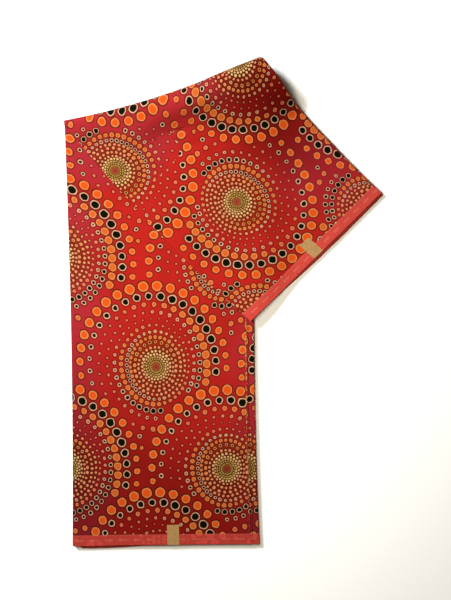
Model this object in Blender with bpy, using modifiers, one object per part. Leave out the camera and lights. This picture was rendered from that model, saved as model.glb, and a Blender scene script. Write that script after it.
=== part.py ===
"""A folded length of wax-print cotton, lying flat.

A length of cloth is folded in half four times into a strip of 16 layers. The strip lies up the table as the leg,
and is then bent over on the slant, so that its far end lies down to the right as the flap.

Units are metres. +Y runs up the leg, +X to its right, and +Z up from the table, which is at zero.
"""

import math

import bpy
import numpy as np
from mathutils import Vector

# Driving sizes of the pile of layers
PILE = 0.0086
PANEL = 0.0010
SEAM_GAP = 0.0003
LAYER_CLEARANCE = 0.0006

# Where the middle of the whole outline lies on the plan below: it becomes the origin
PLAN_CENTRE = Vector((0.0005, -0.0035, 0.0))

# Corners of the leg in plan, where the pile lies straight on the table
LEG_FOOT_LEFT = Vector((-0.2580, -0.4180))
LEG_FOOT_RIGHT = Vector((0.0620, -0.4140))
LEG_NARROWS_LEFT = 0.0045
LEG_NARROWS_RIGHT = 0.0100

# The crease in plan: its two ends and how far it sags between them
CREASE_LEFT = Vector((-0.2720, 0.3050))
CREASE_RIGHT = Vector((0.0640, 0.4100))
CREASE_SAG = 0.0105

# The open loop inside the crease, which stands up more at its right end, the peak
LOOP_RISE_LEFT = 0.0080
LOOP_RISE_RIGHT = 0.0215
LOOP_DEPTH_LEFT = 0.0100
LOOP_DEPTH_RIGHT = 0.0240

# The flap in plan: its far corners and the bow of its two sides
FLAP_END_LEFT = Vector((0.0465, -0.0330))
FLAP_END_RIGHT = Vector((0.2706, 0.1877))
FLAP_BOW_LEFT = 0.0110
FLAP_BOW_RIGHT = 0.0060

# How the flap comes down from the crease, and from the leg onto the table
FALL_LEFT = 0.060
FALL_RIGHT = 0.090
STEP_DOWN = 0.075
SWELL = 0.0030

# The flap's soft folds in plan: start, end, height (a trough's is negative), and width to each side
FLAP_FOLDS = (
    (Vector((0.0205, 0.3715)), Vector((-0.1295, 0.2465)), -0.0075, 0.030),
    (Vector((0.0755, 0.3265)), Vector((-0.0195, 0.1865)), 0.0025, 0.024),
    (Vector((-0.0895, 0.3315)), Vector((-0.1995, 0.2465)), 0.0020, 0.020),
)
FOLD_FREE = 0.03

# The front panel stops short of the folds on the right, at its cut end
CUT_END_INSET = 0.014

# Layered edges of the pile
FOLDS = 8
FOLD_GROOVE = 0.0013
FOLD_STAGGER = 0.0012
HEM_SETBACK = 0.0006
SLANT = 0.0002
HEM_SLIP = 0.0045
HEM_SLIP_FROM = 0.05
HEM_SLIP_TO = 0.72
END_STEPS = 4
END_STEP = 0.0014

# The two stuck-on labels, each over the edge of its panel
LABEL_WIDTH = 0.0205
LABEL_HEIGHT = 0.034
LABEL_THICK = 0.0005
FRONT_LABEL_AT = 0.538
FLAP_LABEL_AT = 0.517

# How finely each stretch is divided
COLUMNS = 16
LEG_ROWS = 14
LOOP_ROWS = 12
FALL_ROWS = 9
FLAT_ROWS = 9
FALL_ENDS = 2.36

# Offsets from the middle of the pile, positive towards the table on the leg and upwards on the flap
OUTSIDE = PILE / 2
UNDER_PANEL = OUTSIDE - PANEL - SEAM_GAP
PANEL_MIDDLE = OUTSIDE - PANEL / 2
LABEL_MIDDLE = OUTSIDE + SEAM_GAP + LABEL_THICK / 2

# Where each stretch starts along the pile
LEG = 0.0
LOOP = 1.0
FLAP = 2.0
END = 3.0

# Colours, linear
RED = (0.42, 0.020, 0.016, 1.0)
DEEP_RED = (0.30, 0.014, 0.018, 1.0)
GOLD = (0.36, 0.19, 0.060, 1.0)


def blend(low, high, share):
    """The value that lies this share of the way from low to high."""
    return low + (high - low) * share


def ease(share):
    """A share from 0 to 1 that starts and stops gently."""
    held = min(max(share, 0.0), 1.0)
    return held * held * (3.0 - 2.0 * held)


def bump(share):
    """A smooth rise from 0 at the ends of a span to 1 in its middle."""
    held = min(max(share, 0.0), 1.0)
    return math.sin(math.pi * held) ** 2


def arch(share):
    """A parabola that is 0 at both ends and 1 in the middle."""
    return 4.0 * share * (1.0 - share)


# Directions along the crease and outwards from it, in plan
CREASE_ALONG = (CREASE_RIGHT - CREASE_LEFT).normalized()
CREASE_OUT = Vector((-CREASE_ALONG.y, CREASE_ALONG.x))


def crease_point(across):
    """The outermost point of the crease in plan, from its left end at 0 to its right end at 1."""
    return blend(CREASE_LEFT, CREASE_RIGHT, across) - CREASE_OUT * CREASE_SAG * arch(across)


def leg_point(across, share):
    """A point of the leg in plan, from its foot at share 0 to the crease at share 1."""
    foot = blend(LEG_FOOT_LEFT, LEG_FOOT_RIGHT, across)
    inward = blend(LEG_NARROWS_LEFT, -LEG_NARROWS_RIGHT, across) * arch(share)
    return blend(foot, crease_point(across), share) + Vector((inward, 0.0))


def flap_point(across, share):
    """A point of the flap in plan, from the crease at share 0 to its end at share 1."""
    start = crease_point(across)
    end = blend(FLAP_END_LEFT, FLAP_END_RIGHT, across)
    run = (end - start).normalized()
    aside = Vector((run.y, -run.x))
    return blend(start, end, share) + aside * blend(FLAP_BOW_LEFT, FLAP_BOW_RIGHT, across) * arch(share)


def leg_right_edge(y):
    """How far right the leg reaches at this height up the table."""
    share = (y - LEG_FOOT_RIGHT.y) / (CREASE_RIGHT.y - LEG_FOOT_RIGHT.y)
    return leg_point(1.0, min(max(share, 0.0), 1.0)).x


def flap_rest_height(plan):
    """The middle of the flap's pile where it lies: on the leg, or beside it on the table."""
    beside = (plan.x - leg_right_edge(plan.y)) / STEP_DOWN
    return PILE / 2 + (PILE + LAYER_CLEARANCE) * (1.0 - ease(beside))


def fold_rise(plan):
    """How far the flap's soft folds lift the cloth here."""
    rise = 0.0
    for start, end, height, width in FLAP_FOLDS:
        run = end - start
        along = (plan - start).dot(run) / run.length_squared
        aside = (plan - start - run * along).length
        rise += height * bump(along) ** 0.7 * math.exp(-((aside / width) ** 2))
    return rise


def loop_lean(across, leaving):
    """How far the pile shifts along the crease for each unit that it comes in from it."""
    step = 0.001
    near = flap_point(across, 0.0) if leaving else leg_point(across, 1.0)
    far = flap_point(across, step) if leaving else leg_point(across, 1.0 - step)
    run = far - near
    return abs(run.dot(CREASE_ALONG)) / abs(run.dot(CREASE_OUT))


# A curve from -1 to 1 over a half turn that leaves both ends at the slope of the straight runs
HALF_TURN = math.pi / 2
LEAN_CUBIC = (1.0 - 1.0 / HALF_TURN) / (2.0 * HALF_TURN**2)
LEAN_LINEAR = (1.0 - LEAN_CUBIC * HALF_TURN**3) / HALF_TURN


def loop_size(across):
    """The half height and the depth of the loop at this place along the crease."""
    rise = blend(LOOP_RISE_LEFT, LOOP_RISE_RIGHT, ease(across))
    depth = blend(LOOP_DEPTH_LEFT, LOOP_DEPTH_RIGHT, ease(across))
    return rise, depth


def straight_share(across, depth, leaving):
    """The share of the leg or the flap that the loop takes up."""
    if leaving:
        run = flap_point(across, 1.0) - crease_point(across)
    else:
        run = crease_point(across) - leg_point(across, 0.0)
    return depth / abs(run.dot(CREASE_OUT))


def middle_point(across, along):
    """The middle of the pile, in three dimensions."""
    rise, depth = loop_size(across)
    if along <= LOOP:
        share = along * (1.0 - straight_share(across, depth, False))
        plan = leg_point(across, share)
        return Vector((plan.x, plan.y, PILE / 2))
    if along < FLAP:
        turn = (along - 1.5) * math.pi
        lean = loop_lean(across, turn > 0.0) * depth * (LEAN_LINEAR * turn + LEAN_CUBIC * turn**3)
        inward = depth * (1.0 - math.cos(turn))
        plan = crease_point(across) - CREASE_OUT * inward + CREASE_ALONG * lean
        return Vector((plan.x, plan.y, PILE / 2 + rise * (1.0 + math.sin(turn))))
    start = straight_share(across, depth, True)
    share = blend(start, 1.0, along - FLAP)
    plan = flap_point(across, share)
    rest = flap_rest_height(plan)
    gone = (plan - flap_point(across, start)).length
    down = ease(gone / blend(FALL_LEFT, FALL_RIGHT, across))
    top = PILE / 2 + 2.0 * rise
    swell = SWELL * bump(along - FLAP) * bump(across * 1.1 - 0.05)
    height = blend(top, rest, down) + swell * down + fold_rise(plan) * ease(gone / FOLD_FREE)
    return Vector((plan.x, plan.y, max(height, rest)))


def cloth_point(across, along, lift=0.0):
    """A point of the pile, moved out from its middle by lift."""
    step = 0.0005
    low, high = max(across - step, -0.02), min(across + step, 1.02)
    before, after = along - step, along + step
    down_pile = middle_point(across, after) - middle_point(across, before)
    across_pile = middle_point(high, along) - middle_point(low, along)
    return middle_point(across, along) + down_pile.cross(across_pile).normalized() * lift


def pile_width(along):
    """The width of the pile at this place along it."""
    return (middle_point(1.0, along) - middle_point(0.0, along)).length


def run_length(across, along, stretch_end):
    """The length of the straight stretch that this place is in."""
    return (middle_point(across, stretch_end) - middle_point(across, along)).length


def material(name, colour, roughness):
    """A plain material for one kind of cloth."""
    made = bpy.data.materials.new(name)
    made.use_nodes = True
    shader = made.node_tree.nodes["Principled BSDF"]
    shader.inputs["Base Color"].default_value = colour
    shader.inputs["Roughness"].default_value = roughness
    return made


def add_object(name, vertices, faces, look):
    """Puts a mesh in the cloth's collection."""
    mesh = bpy.data.meshes.new(name)
    mesh.from_pydata([tuple(v - PLAN_CENTRE) for v in vertices], [], faces)
    mesh.validate()
    mesh.materials.append(look)
    made = bpy.data.objects.new(name, mesh)
    COLLECTION.objects.link(made)
    return made


def grid_faces(wide, high):
    """The faces between a grid of points, given row by row, all split along the same diagonal."""
    faces = []
    for r in range(high - 1):
        for c in range(wide - 1):
            near, far = r * wide + c, (r + 1) * wide + c
            faces += [(near, far, far + 1), (near, far + 1, near + 1)]
    return faces


def add_wall(made, thickness):
    """Gives a surface its thickness, half to each side."""
    wall = made.modifiers.new("Wall", "SOLIDIFY")
    wall.thickness = thickness
    wall.offset = 0.0
    wall.use_even_offset = True
    return made


def panel(name, acrosses, alongs, lift):
    """One panel of cloth over a patch of the pile, divided at these places."""
    vertices = [cloth_point(w, a, lift) for a in alongs for w in acrosses]
    made = add_object(name, vertices, grid_faces(len(acrosses), len(alongs)), CLOTH)
    return add_wall(made, PANEL)


def facet(places, place):
    """Which stretch between places this one is in, and its share of the way along it."""
    held = min(max(int(np.searchsorted(places, place)) - 1, 0), len(places) - 2)
    return held, (place - places[held]) / (places[held + 1] - places[held])


def facet_point(acrosses, alongs, across, along, lift):
    """A point over the facets of a panel that is divided at these places, split as grid_faces splits them."""
    c, beside = facet(acrosses, across)
    r, further = facet(alongs, along)
    near, near_right, far, far_right = (
        np.array(cloth_point(acrosses[c + right], alongs[r + up], lift)) for up in (0, 1) for right in (0, 1)
    )
    if further > beside:
        return near + further * (far - near) + beside * (far_right - far)
    return near + beside * (near_right - near) + further * (far_right - near_right)


def divided(low, high, places):
    """The ends of a span with the places inside it, so that what lies on a panel bends where it does."""
    return [low] + [place for place in places if low < place < high] + [high]


def rows(start, end, count):
    """Evenly spaced places along the pile."""
    return list(np.linspace(start, end, count + 1))


def flap_rows():
    """Places along the flap, closer together where it comes down from the crease."""
    return rows(FLAP, FALL_ENDS, FALL_ROWS) + rows(FALL_ENDS, END, FLAT_ROWS)[1:]


def fold_reach(side, number, along):
    """How far one fold stands out at the edge of the pile: neighbours differ, and each wanders."""
    phase = 2.4 * number + 1.3 * side
    wander = math.sin(phase) + 0.6 * math.sin(2.2 * along + 1.7 * phase)
    return FOLD_STAGGER * 0.6 * wander


def pile_section(along, inner, outer, slide):
    """One ring round the pile: its top and bottom, and the rounded folds at both edges.

    inner and outer are the offsets of its two faces, and slide moves each point along the pile, by its
    place across.
    """
    width = pile_width(along)
    pitch = (outer - inner) / FOLDS
    places = []
    columns = [c / COLUMNS for c in range(1, COLUMNS)]
    for side, order in ((1.0, 1), (0.0, -1)):
        outward = (2.0 * side - 1.0) / width
        face_from, face_to = (inner, outer) if order > 0 else (outer, inner)
        face = columns if order > 0 else columns[::-1]
        places += [(w, face_from) for w in face]
        for number in range(FOLDS):
            fold = number if order > 0 else FOLDS - 1 - number
            reach = fold_reach(side, fold, along)
            start = face_from + order * pitch * number
            groove = side - outward * FOLD_GROOVE
            places.append((groove, start))
            places.append((side + outward * reach, start + order * pitch * 0.28))
            places.append((side + outward * reach, start + order * pitch * 0.72))
        places.append((side - outward * FOLD_GROOVE, face_to))
    return [cloth_point(w, along + slide(w), lift) for w, lift in places]


def hem_slip(across):
    """How far the lower layers slip out past the front panel at the leg's hem."""
    return HEM_SLIP * bump((across - HEM_SLIP_FROM) / (HEM_SLIP_TO - HEM_SLIP_FROM)) ** 0.5


def close_end(first, ring):
    """Faces over one end of the pile: a strip between its top and bottom, and one face at each edge."""
    inner = COLUMNS - 1
    folds = 3 * FOLDS + 1
    outer = inner + folds
    faces = []
    for c in range(inner - 1):
        far = outer + inner - 1 - c
        faces.append((first + c, first + c + 1, first + far - 1, first + far))
    faces.append(tuple(range(first + inner - 1, first + outer + 1)))
    faces.append(tuple(range(first + outer + inner - 1, first + ring)) + (first,))
    return faces


def hidden_layers():
    """The layers that don't show, as one solid that is layered at its edges and rests on the table."""
    leg = run_length(0.5, LEG, LOOP)
    flap = run_length(0.5, FLAP, END)
    middle = (UNDER_PANEL - OUTSIDE) / 2
    sections = [
        pile_section(LEG, middle, OUTSIDE, lambda w: -hem_slip(w) / leg),
        pile_section(LEG, middle, OUTSIDE, lambda w: HEM_SETBACK / leg),
        pile_section(LEG, -UNDER_PANEL, OUTSIDE, lambda w: (HEM_SETBACK + SLANT) / leg),
    ]
    for along in rows(LEG, LOOP - 2.0 * SEAM_GAP / leg, LEG_ROWS)[1:]:
        sections.append(pile_section(along, -UNDER_PANEL, OUTSIDE, lambda w: 0.0))
    for along in [LOOP - SEAM_GAP / leg] + rows(LOOP, FLAP, LOOP_ROWS)[1:-1] + flap_rows():
        sections.append(pile_section(along, -OUTSIDE, UNDER_PANEL, lambda w: 0.0))
    for number in range(END_STEPS):
        top = blend(UNDER_PANEL, -OUTSIDE, number / END_STEPS)
        if number:
            back = (number * END_STEP + SLANT) / flap
            sections.append(pile_section(END, -OUTSIDE, top, lambda w, s=back: s))
        reach = (number + 1) * END_STEP / flap
        sections.append(pile_section(END, -OUTSIDE, top, lambda w, s=reach: s))
    ring = len(sections[0])
    vertices = [point for section in sections for point in section]
    faces = []
    for s in range(len(sections) - 1):
        for p in range(ring):
            q = (p + 1) % ring
            here, there = s * ring, (s + 1) * ring
            if p < ring // 2 - 1 or q == 0:
                faces += [(here + p, here + q, there + q), (here + p, there + q, there + p)]
            else:
                faces += [(here + p, here + q, there + p), (here + q, there + q, there + p)]
    faces += [face[::-1] for face in close_end(0, ring)]
    faces += close_end((len(sections) - 1) * ring, ring)
    return add_object("hidden_layers", vertices, faces, CLOTH_SIDE)


def front_places():
    """Where the front panel is divided: it ends short of the folds on the right, and under the flap."""
    last = LOOP - 3.0 * SEAM_GAP / run_length(0.5, LEG, LOOP)
    cut_end = 1.0 - CUT_END_INSET / pile_width(LEG)
    return rows(0.0, cut_end, COLUMNS), rows(LEG, last, LEG_ROWS)


def flap_places():
    """Where the flap panel is divided: it wraps the loop and runs to the end of the flap."""
    return rows(0.0, 1.0, COLUMNS), rows(LOOP, FLAP, LOOP_ROWS)[:-1] + flap_rows()


def label(name, places, at, hem, stretch, up):
    """A label that lies on its panel and turns over the hem at the panel's end.

    stretch is the length of the straight run, negative where the label runs back from its far end, and up
    is the side of the pile that the panel is on.
    """
    acrosses, alongs = places
    half = LABEL_WIDTH / 2 / pile_width(hem)
    columns = divided(at - half, at + half, acrosses)
    top = hem + LABEL_HEIGHT / stretch
    lines = divided(min(hem, top), max(hem, top), alongs)
    if stretch > 0.0:
        lines.reverse()
    beyond = hem - (SEAM_GAP + LABEL_THICK / 2) / stretch
    spots = [(along, LABEL_MIDDLE) for along in lines[:-1]]
    spots += [(beyond, LABEL_MIDDLE), (beyond, PANEL_MIDDLE - LABEL_THICK / 2)]
    vertices = [facet_point(acrosses, alongs, w, a, up * lift) for a, lift in spots for w in columns]
    made = add_object(name, vertices, grid_faces(len(columns), len(spots)), LABEL_LOOK)
    return add_wall(made, LABEL_THICK)


for old in list(bpy.data.objects):
    bpy.data.objects.remove(old, do_unlink=True)

COLLECTION = bpy.data.collections.new("folded wax print cloth")
bpy.context.scene.collection.children.link(COLLECTION)
CLOTH = material("printed cotton", RED, 0.75)
CLOTH_SIDE = material("cotton edges", DEEP_RED, 0.8)
LABEL_LOOK = material("gold label", GOLD, 0.45)

hidden_layers()
panel("front_panel", *front_places(), -PANEL_MIDDLE)
panel("flap_panel", *flap_places(), PANEL_MIDDLE)
label("front_label", front_places(), FRONT_LABEL_AT, LEG, run_length(0.5, LEG, LOOP), -1.0)
label("flap_label", flap_places(), FLAP_LABEL_AT, END, -run_length(0.5, FLAP, END), 1.0)
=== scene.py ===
"""Dresses a folded length of wax-print cotton that lies on a pale surface.

The cloth is fan-folded into a long strip of layers. The strip lies up the table as the leg, and its far end
is bent over on the slant, so that it lies down to the right as the flap. All sizes are in metres, except in
the print, whose table is in millimetres of flat cloth.
"""

from __future__ import annotations

import logging
import math
from dataclasses import dataclass, field
from enum import Enum
from typing import Union

import bpy
import numpy as np
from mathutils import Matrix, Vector


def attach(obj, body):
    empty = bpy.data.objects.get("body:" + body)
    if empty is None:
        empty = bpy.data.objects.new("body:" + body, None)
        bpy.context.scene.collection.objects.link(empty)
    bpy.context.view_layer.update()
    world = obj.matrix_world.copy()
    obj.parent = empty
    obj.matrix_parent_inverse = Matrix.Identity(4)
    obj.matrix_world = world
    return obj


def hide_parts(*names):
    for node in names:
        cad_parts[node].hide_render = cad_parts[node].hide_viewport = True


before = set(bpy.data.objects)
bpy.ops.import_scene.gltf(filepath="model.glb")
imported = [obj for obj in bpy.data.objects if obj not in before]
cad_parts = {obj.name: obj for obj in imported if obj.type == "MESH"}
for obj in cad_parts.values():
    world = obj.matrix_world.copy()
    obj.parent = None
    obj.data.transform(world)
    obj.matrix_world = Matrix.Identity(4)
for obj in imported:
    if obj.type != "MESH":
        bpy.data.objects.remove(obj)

LOG = logging.getLogger("folded cloth")
# One number or an array of them, and what can feed a node's socket.
Amount = Union[float, np.ndarray]
Feed = Union[bpy.types.NodeSocket, float, tuple]
LEG, LOOP, FLAP, END = 0.0, 1.0, 2.0, 3.0
FULL_TURN = 2.0 * math.pi
MILLIMETRES = 1000.0
IN_PLAN = (1.0, 1.0, 0.0)
# How many points go round the bend where two layers meet.
BEND_POINTS = 7
# How bright a white surface looks in the middle of the cloth, where 1 is the screen's white.
LAMPLIGHT = 2.04


class Side(Enum):
    """The long edges of the strip, by the share of the way across at which they lie."""

    LEFT = 0.0
    RIGHT = 1.0


class Face(Enum):
    """The two sides of the pile, by the sign of the offset towards them."""

    TOP_OF_LEG = -1.0
    TOP_OF_FLAP = 1.0


def blend(low: Amount, high: Amount, share: Amount) -> Amount:
    """Returns the value that lies this share of the way from low to high."""
    return low + (high - low) * share


def between(ends: tuple, share: np.ndarray) -> np.ndarray:
    """Returns the points in plan that lie these shares of the way from one end to the other."""
    return blend(np.array(ends[0]), np.array(ends[1]), share[..., None])


def ease(share: np.ndarray) -> np.ndarray:
    """Returns a share held to 0 and 1 that starts and stops gently."""
    held = np.clip(share, 0.0, 1.0)
    return held * held * (3.0 - 2.0 * held)


def bump(share: np.ndarray) -> np.ndarray:
    """Returns a smooth rise from 0 at the ends of a span to 1 in its middle."""
    return np.sin(np.pi * np.clip(share, 0.0, 1.0)) ** 2


def arch(share: np.ndarray) -> np.ndarray:
    """Returns a parabola that is 0 at both ends of a span and 1 in its middle."""
    return 4.0 * share * (1.0 - share)


def unit(vectors: np.ndarray) -> np.ndarray:
    """Returns the vectors, each at a length of 1."""
    return vectors / np.maximum(np.linalg.norm(vectors, axis=-1, keepdims=True), 1e-12)


@dataclass(frozen=True)
class Crease:
    """One soft ridge or trough that was pressed or dragged into the cloth.

    Its ends are in plan, and its height is negative for a trough.
    """

    start: tuple[float, float]
    end: tuple[float, float]
    height: float
    width: float

    def rise(self, plan: np.ndarray) -> np.ndarray:
        """Works out how far the crease lifts the cloth.

        Args:
            plan: points in plan, as an array whose last axis holds X and Y.

        Returns:
            The lift at each point, in metres.
        """
        start = np.array(self.start)
        run = np.array(self.end) - start
        along = ((plan - start) @ run) / (run @ run)
        aside = np.linalg.norm(plan - start - along[..., None] * run, axis=-1)
        return self.height * bump(along) ** 0.7 * np.exp(-((aside / self.width) ** 2))


@dataclass(frozen=True)
class Pile:
    """The folded strip as one bent plate, which says where each point of the cloth lies.

    A point is given by across, from the strip's left edge at 0 to its right edge at 1, by along, which
    runs up the leg from 0 to 1, round the crease from 1 to 2 and down the flap from 2 to 3, and by lift,
    its offset from the middle of the pile.
    """

    thickness: float = 0.0086
    layers: int = 16
    layer_clearance: float = 0.0006
    centre: tuple[float, float] = (0.0005, -0.0035)
    foot: tuple = ((-0.2580, -0.4180), (0.0620, -0.4140))
    narrows: tuple[float, float] = (0.0045, -0.0100)
    crease: tuple = ((-0.2720, 0.3050), (0.0640, 0.4100))
    crease_sag: float = 0.0105
    loop_rise: tuple[float, float] = (0.0080, 0.0215)
    loop_depth: tuple[float, float] = (0.0100, 0.0240)
    flap_end: tuple = ((0.0465, -0.0330), (0.2706, 0.1877))
    flap_bow: tuple[float, float] = (0.0110, 0.0060)
    fall: tuple[float, float] = (0.060, 0.090)
    step_down: float = 0.075
    swell: float = 0.0030
    width: float = 0.322
    flap_width: float = 0.314
    selvage_to_selvage: float = 1.178
    creases: tuple[Crease, ...] = ()
    creases_from: float = 0.03

    @property
    def pitch(self) -> float:
        """The height that one layer takes up in the pile."""
        return self.thickness / self.layers

    @property
    def crease_along(self) -> np.ndarray:
        """The direction of the crease in plan, from left to right."""
        return unit(np.array(self.crease[1]) - np.array(self.crease[0]))

    @property
    def crease_out(self) -> np.ndarray:
        """The direction in plan in which the crease faces, away from the cloth."""
        along = self.crease_along
        return np.array([-along[1], along[0]])

    def layer_lift(self, layer: float) -> float:
        """Returns the offset of a layer's middle; layer 1 is on top of the leg."""
        return -self.thickness / 2 + (layer - 0.5) * self.pitch

    def crease_point(self, across: np.ndarray) -> np.ndarray:
        """Returns the outermost points of the crease in plan."""
        sag = self.crease_out * (self.crease_sag * arch(across))[..., None]
        return between(self.crease, across) - sag

    def leg_point(self, across: np.ndarray, share: np.ndarray) -> np.ndarray:
        """Returns points of the leg in plan, from its foot at share 0 to the crease at share 1.

        Args:
            across: shares of the way across the strip.
            share: shares of the way up the leg.

        Returns:
            The points in plan, in metres.
        """
        foot = between(self.foot, across)
        inward = blend(*self.narrows, across) * arch(share)
        line = foot + share[..., None] * (self.crease_point(across) - foot)
        return line + np.stack([inward, np.zeros_like(inward)], axis=-1)

    def flap_point(self, across: np.ndarray, share: np.ndarray) -> np.ndarray:
        """Returns points of the flap in plan, from the crease at share 0 to its end at share 1.

        Args:
            across: shares of the way across the strip.
            share: shares of the way down the flap.

        Returns:
            The points in plan, in metres.
        """
        start = self.crease_point(across)
        end = between(self.flap_end, across)
        run = unit(end - start)
        aside = np.stack([run[..., 1], -run[..., 0]], axis=-1)
        bow = blend(*self.flap_bow, across) * arch(share)
        return start + share[..., None] * (end - start) + aside * bow[..., None]

    def flap_rest_height(self, plan: np.ndarray) -> np.ndarray:
        """Returns the height of the flap's middle where it lies: on the leg, or beside it.

        Args:
            plan: points of the flap in plan.

        Returns:
            The heights above the surface, in metres.
        """
        bottom, top = self.foot[1][1], self.crease[1][1]
        share = np.clip((plan[..., 1] - bottom) / (top - bottom), 0.0, 1.0)
        edge = self.leg_point(np.ones_like(share), share)[..., 0]
        beside = ease((plan[..., 0] - edge) / self.step_down)
        return self.thickness / 2 + (self.thickness + self.layer_clearance) * (1.0 - beside)

    def loop_lean(self, across: np.ndarray, leaving: np.ndarray) -> np.ndarray:
        """Returns the shift along the crease for each unit that the cloth comes in from it.

        Args:
            across: shares of the way across the strip.
            leaving: where the cloth leaves the crease for the flap.

        Returns:
            The shifts, as shares.
        """
        near_start, small = np.zeros_like(across), np.full_like(across, 0.001)
        flap_run = self.flap_point(across, small) - self.flap_point(across, near_start)
        leg_run = self.leg_point(across, 1.0 - small) - self.leg_point(across, 1.0 - near_start)
        run = np.where(leaving[..., None], flap_run, leg_run)
        return np.abs(run @ self.crease_along) / np.abs(run @ self.crease_out)

    def loop_size(self, across: np.ndarray) -> tuple[np.ndarray, np.ndarray]:
        """Returns the half height and the depth of the open loop inside the crease."""
        share = ease(across)
        return blend(*self.loop_rise, share), blend(*self.loop_depth, share)

    def middle(self, across: np.ndarray, along: np.ndarray) -> np.ndarray:
        """Works out where the middle of the pile lies.

        Args:
            across: shares of the way across the strip.
            along: places along the strip, as an array of the same shape.

        Returns:
            The points, in an array with one more axis.
        """
        rise, depth = self.loop_size(across)
        leg_run = np.abs((self.crease_point(across) - self.leg_point(across, across * 0.0)) @ self.crease_out)
        leg = self.leg_point(across, along * (1.0 - depth / leg_run))
        leg_z = np.full_like(across, self.thickness / 2)

        turn = (np.clip(along, LOOP, FLAP) - 1.5) * math.pi
        cubic = (1.0 - 2.0 / math.pi) / (2.0 * (math.pi / 2) ** 2)
        straight = (1.0 - cubic * (math.pi / 2) ** 3) / (math.pi / 2)
        lean = self.loop_lean(across, turn > 0.0) * depth * (straight * turn + cubic * turn**3)
        inward = depth * (1.0 - np.cos(turn))
        loop = self.crease_point(across) - inward[..., None] * self.crease_out
        loop = loop + lean[..., None] * self.crease_along
        loop_z = self.thickness / 2 + rise * (1.0 + np.sin(turn))

        flap_run = self.flap_point(across, np.ones_like(across)) - self.crease_point(across)
        start = depth / np.abs(flap_run @ self.crease_out)
        flap = self.flap_point(across, blend(start, 1.0, along - FLAP))
        gone = np.linalg.norm(flap - self.flap_point(across, start), axis=-1)
        down = ease(gone / blend(*self.fall, across))
        top = self.thickness / 2 + 2.0 * rise
        swell = self.swell * bump(along - FLAP) * bump(across * 1.1 - 0.05)
        rest = self.flap_rest_height(flap)
        flap_z = blend(top, rest, down) + swell * down
        for crease in self.creases:
            flap_z = flap_z + crease.rise(flap - np.array(self.centre)) * ease(gone / self.creases_from)
        flap_z = np.maximum(flap_z, rest)

        on_leg, on_flap = along <= LOOP, along >= FLAP
        plan = np.where(on_leg[..., None], leg, np.where(on_flap[..., None], flap, loop))
        height = np.where(on_leg, leg_z, np.where(on_flap, flap_z, loop_z))
        return np.concatenate([plan - np.array(self.centre), height[..., None]], axis=-1)

    def point(self, across: np.ndarray, along: np.ndarray, lift: np.ndarray) -> np.ndarray:
        """Returns points of the cloth, moved out from the middle of the pile by lift.

        Args:
            across: shares of the way across the strip.
            along: places along the strip.
            lift: offsets from the middle of the pile, in metres.

        Returns:
            The points, in metres.
        """
        step = 0.0005
        down = self.middle(across, along + step) - self.middle(across, along - step)
        over = self.middle(across + step, along) - self.middle(across - step, along)
        return self.middle(across, along) + unit(np.cross(down, over)) * np.asarray(lift)[..., None]

    def length(self, start: float, end: float) -> float:
        """Returns the length of a stretch of the strip, down its middle.

        Args:
            start: where along the strip the stretch starts.
            end: where it ends.

        Returns:
            The length, in metres.
        """
        alongs = np.linspace(start, end, 60)
        points = self.middle(np.full_like(alongs, 0.5), alongs)
        return float(np.linalg.norm(np.diff(points, axis=0), axis=-1).sum())


@dataclass(frozen=True)
class PathLengths:
    """How far up the cloth each place of the strip is, from the selvage at the leg's hem."""

    pile: Pile
    columns: int = 25
    steps: int = 600

    def table(self) -> tuple[np.ndarray, np.ndarray, np.ndarray]:
        """Measures the strip's path at even places across it.

        Returns:
            The places across, the places along, and the lengths, scaled so that each path is one full
            width of cloth from selvage to selvage.
        """
        acrosses = np.linspace(0.0, 1.0, self.columns)
        alongs = np.linspace(LEG, END, self.steps)
        grid_across, grid_along = np.meshgrid(acrosses, alongs, indexing="ij")
        points = self.pile.middle(grid_across, grid_along)
        steps = np.linalg.norm(np.diff(points, axis=1), axis=-1)
        lengths = np.concatenate([np.zeros((self.columns, 1)), np.cumsum(steps, axis=1)], axis=1)
        return acrosses, alongs, lengths * (self.pile.selvage_to_selvage / lengths[:, -1:])

    def at(self, across: np.ndarray, along: np.ndarray) -> np.ndarray:
        """Looks up how far up the cloth some places are.

        Args:
            across: shares of the way across the strip.
            along: places along the strip, also a little beyond its ends.

        Returns:
            The distances from the selvage, in metres.
        """
        acrosses, alongs, lengths = self.table()
        column = np.clip(across, 0.0, 1.0) * (self.columns - 1)
        low = np.clip(column.astype(int), 0, self.columns - 2)
        share = column - low
        row = np.clip(along / END * (self.steps - 1), 0.0, self.steps - 1)
        first = np.clip(row.astype(int), 0, self.steps - 2)
        part = row - first
        near = blend(lengths[low, first], lengths[low, first + 1], part)
        far = blend(lengths[low + 1, first], lengths[low + 1, first + 1], part)
        beyond = np.minimum(along, 0.0) * self.pile.length(LEG, LOOP)
        beyond = beyond + np.maximum(along - END, 0.0) * self.pile.length(FLAP, END)
        return blend(near, far, share) + beyond


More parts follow.
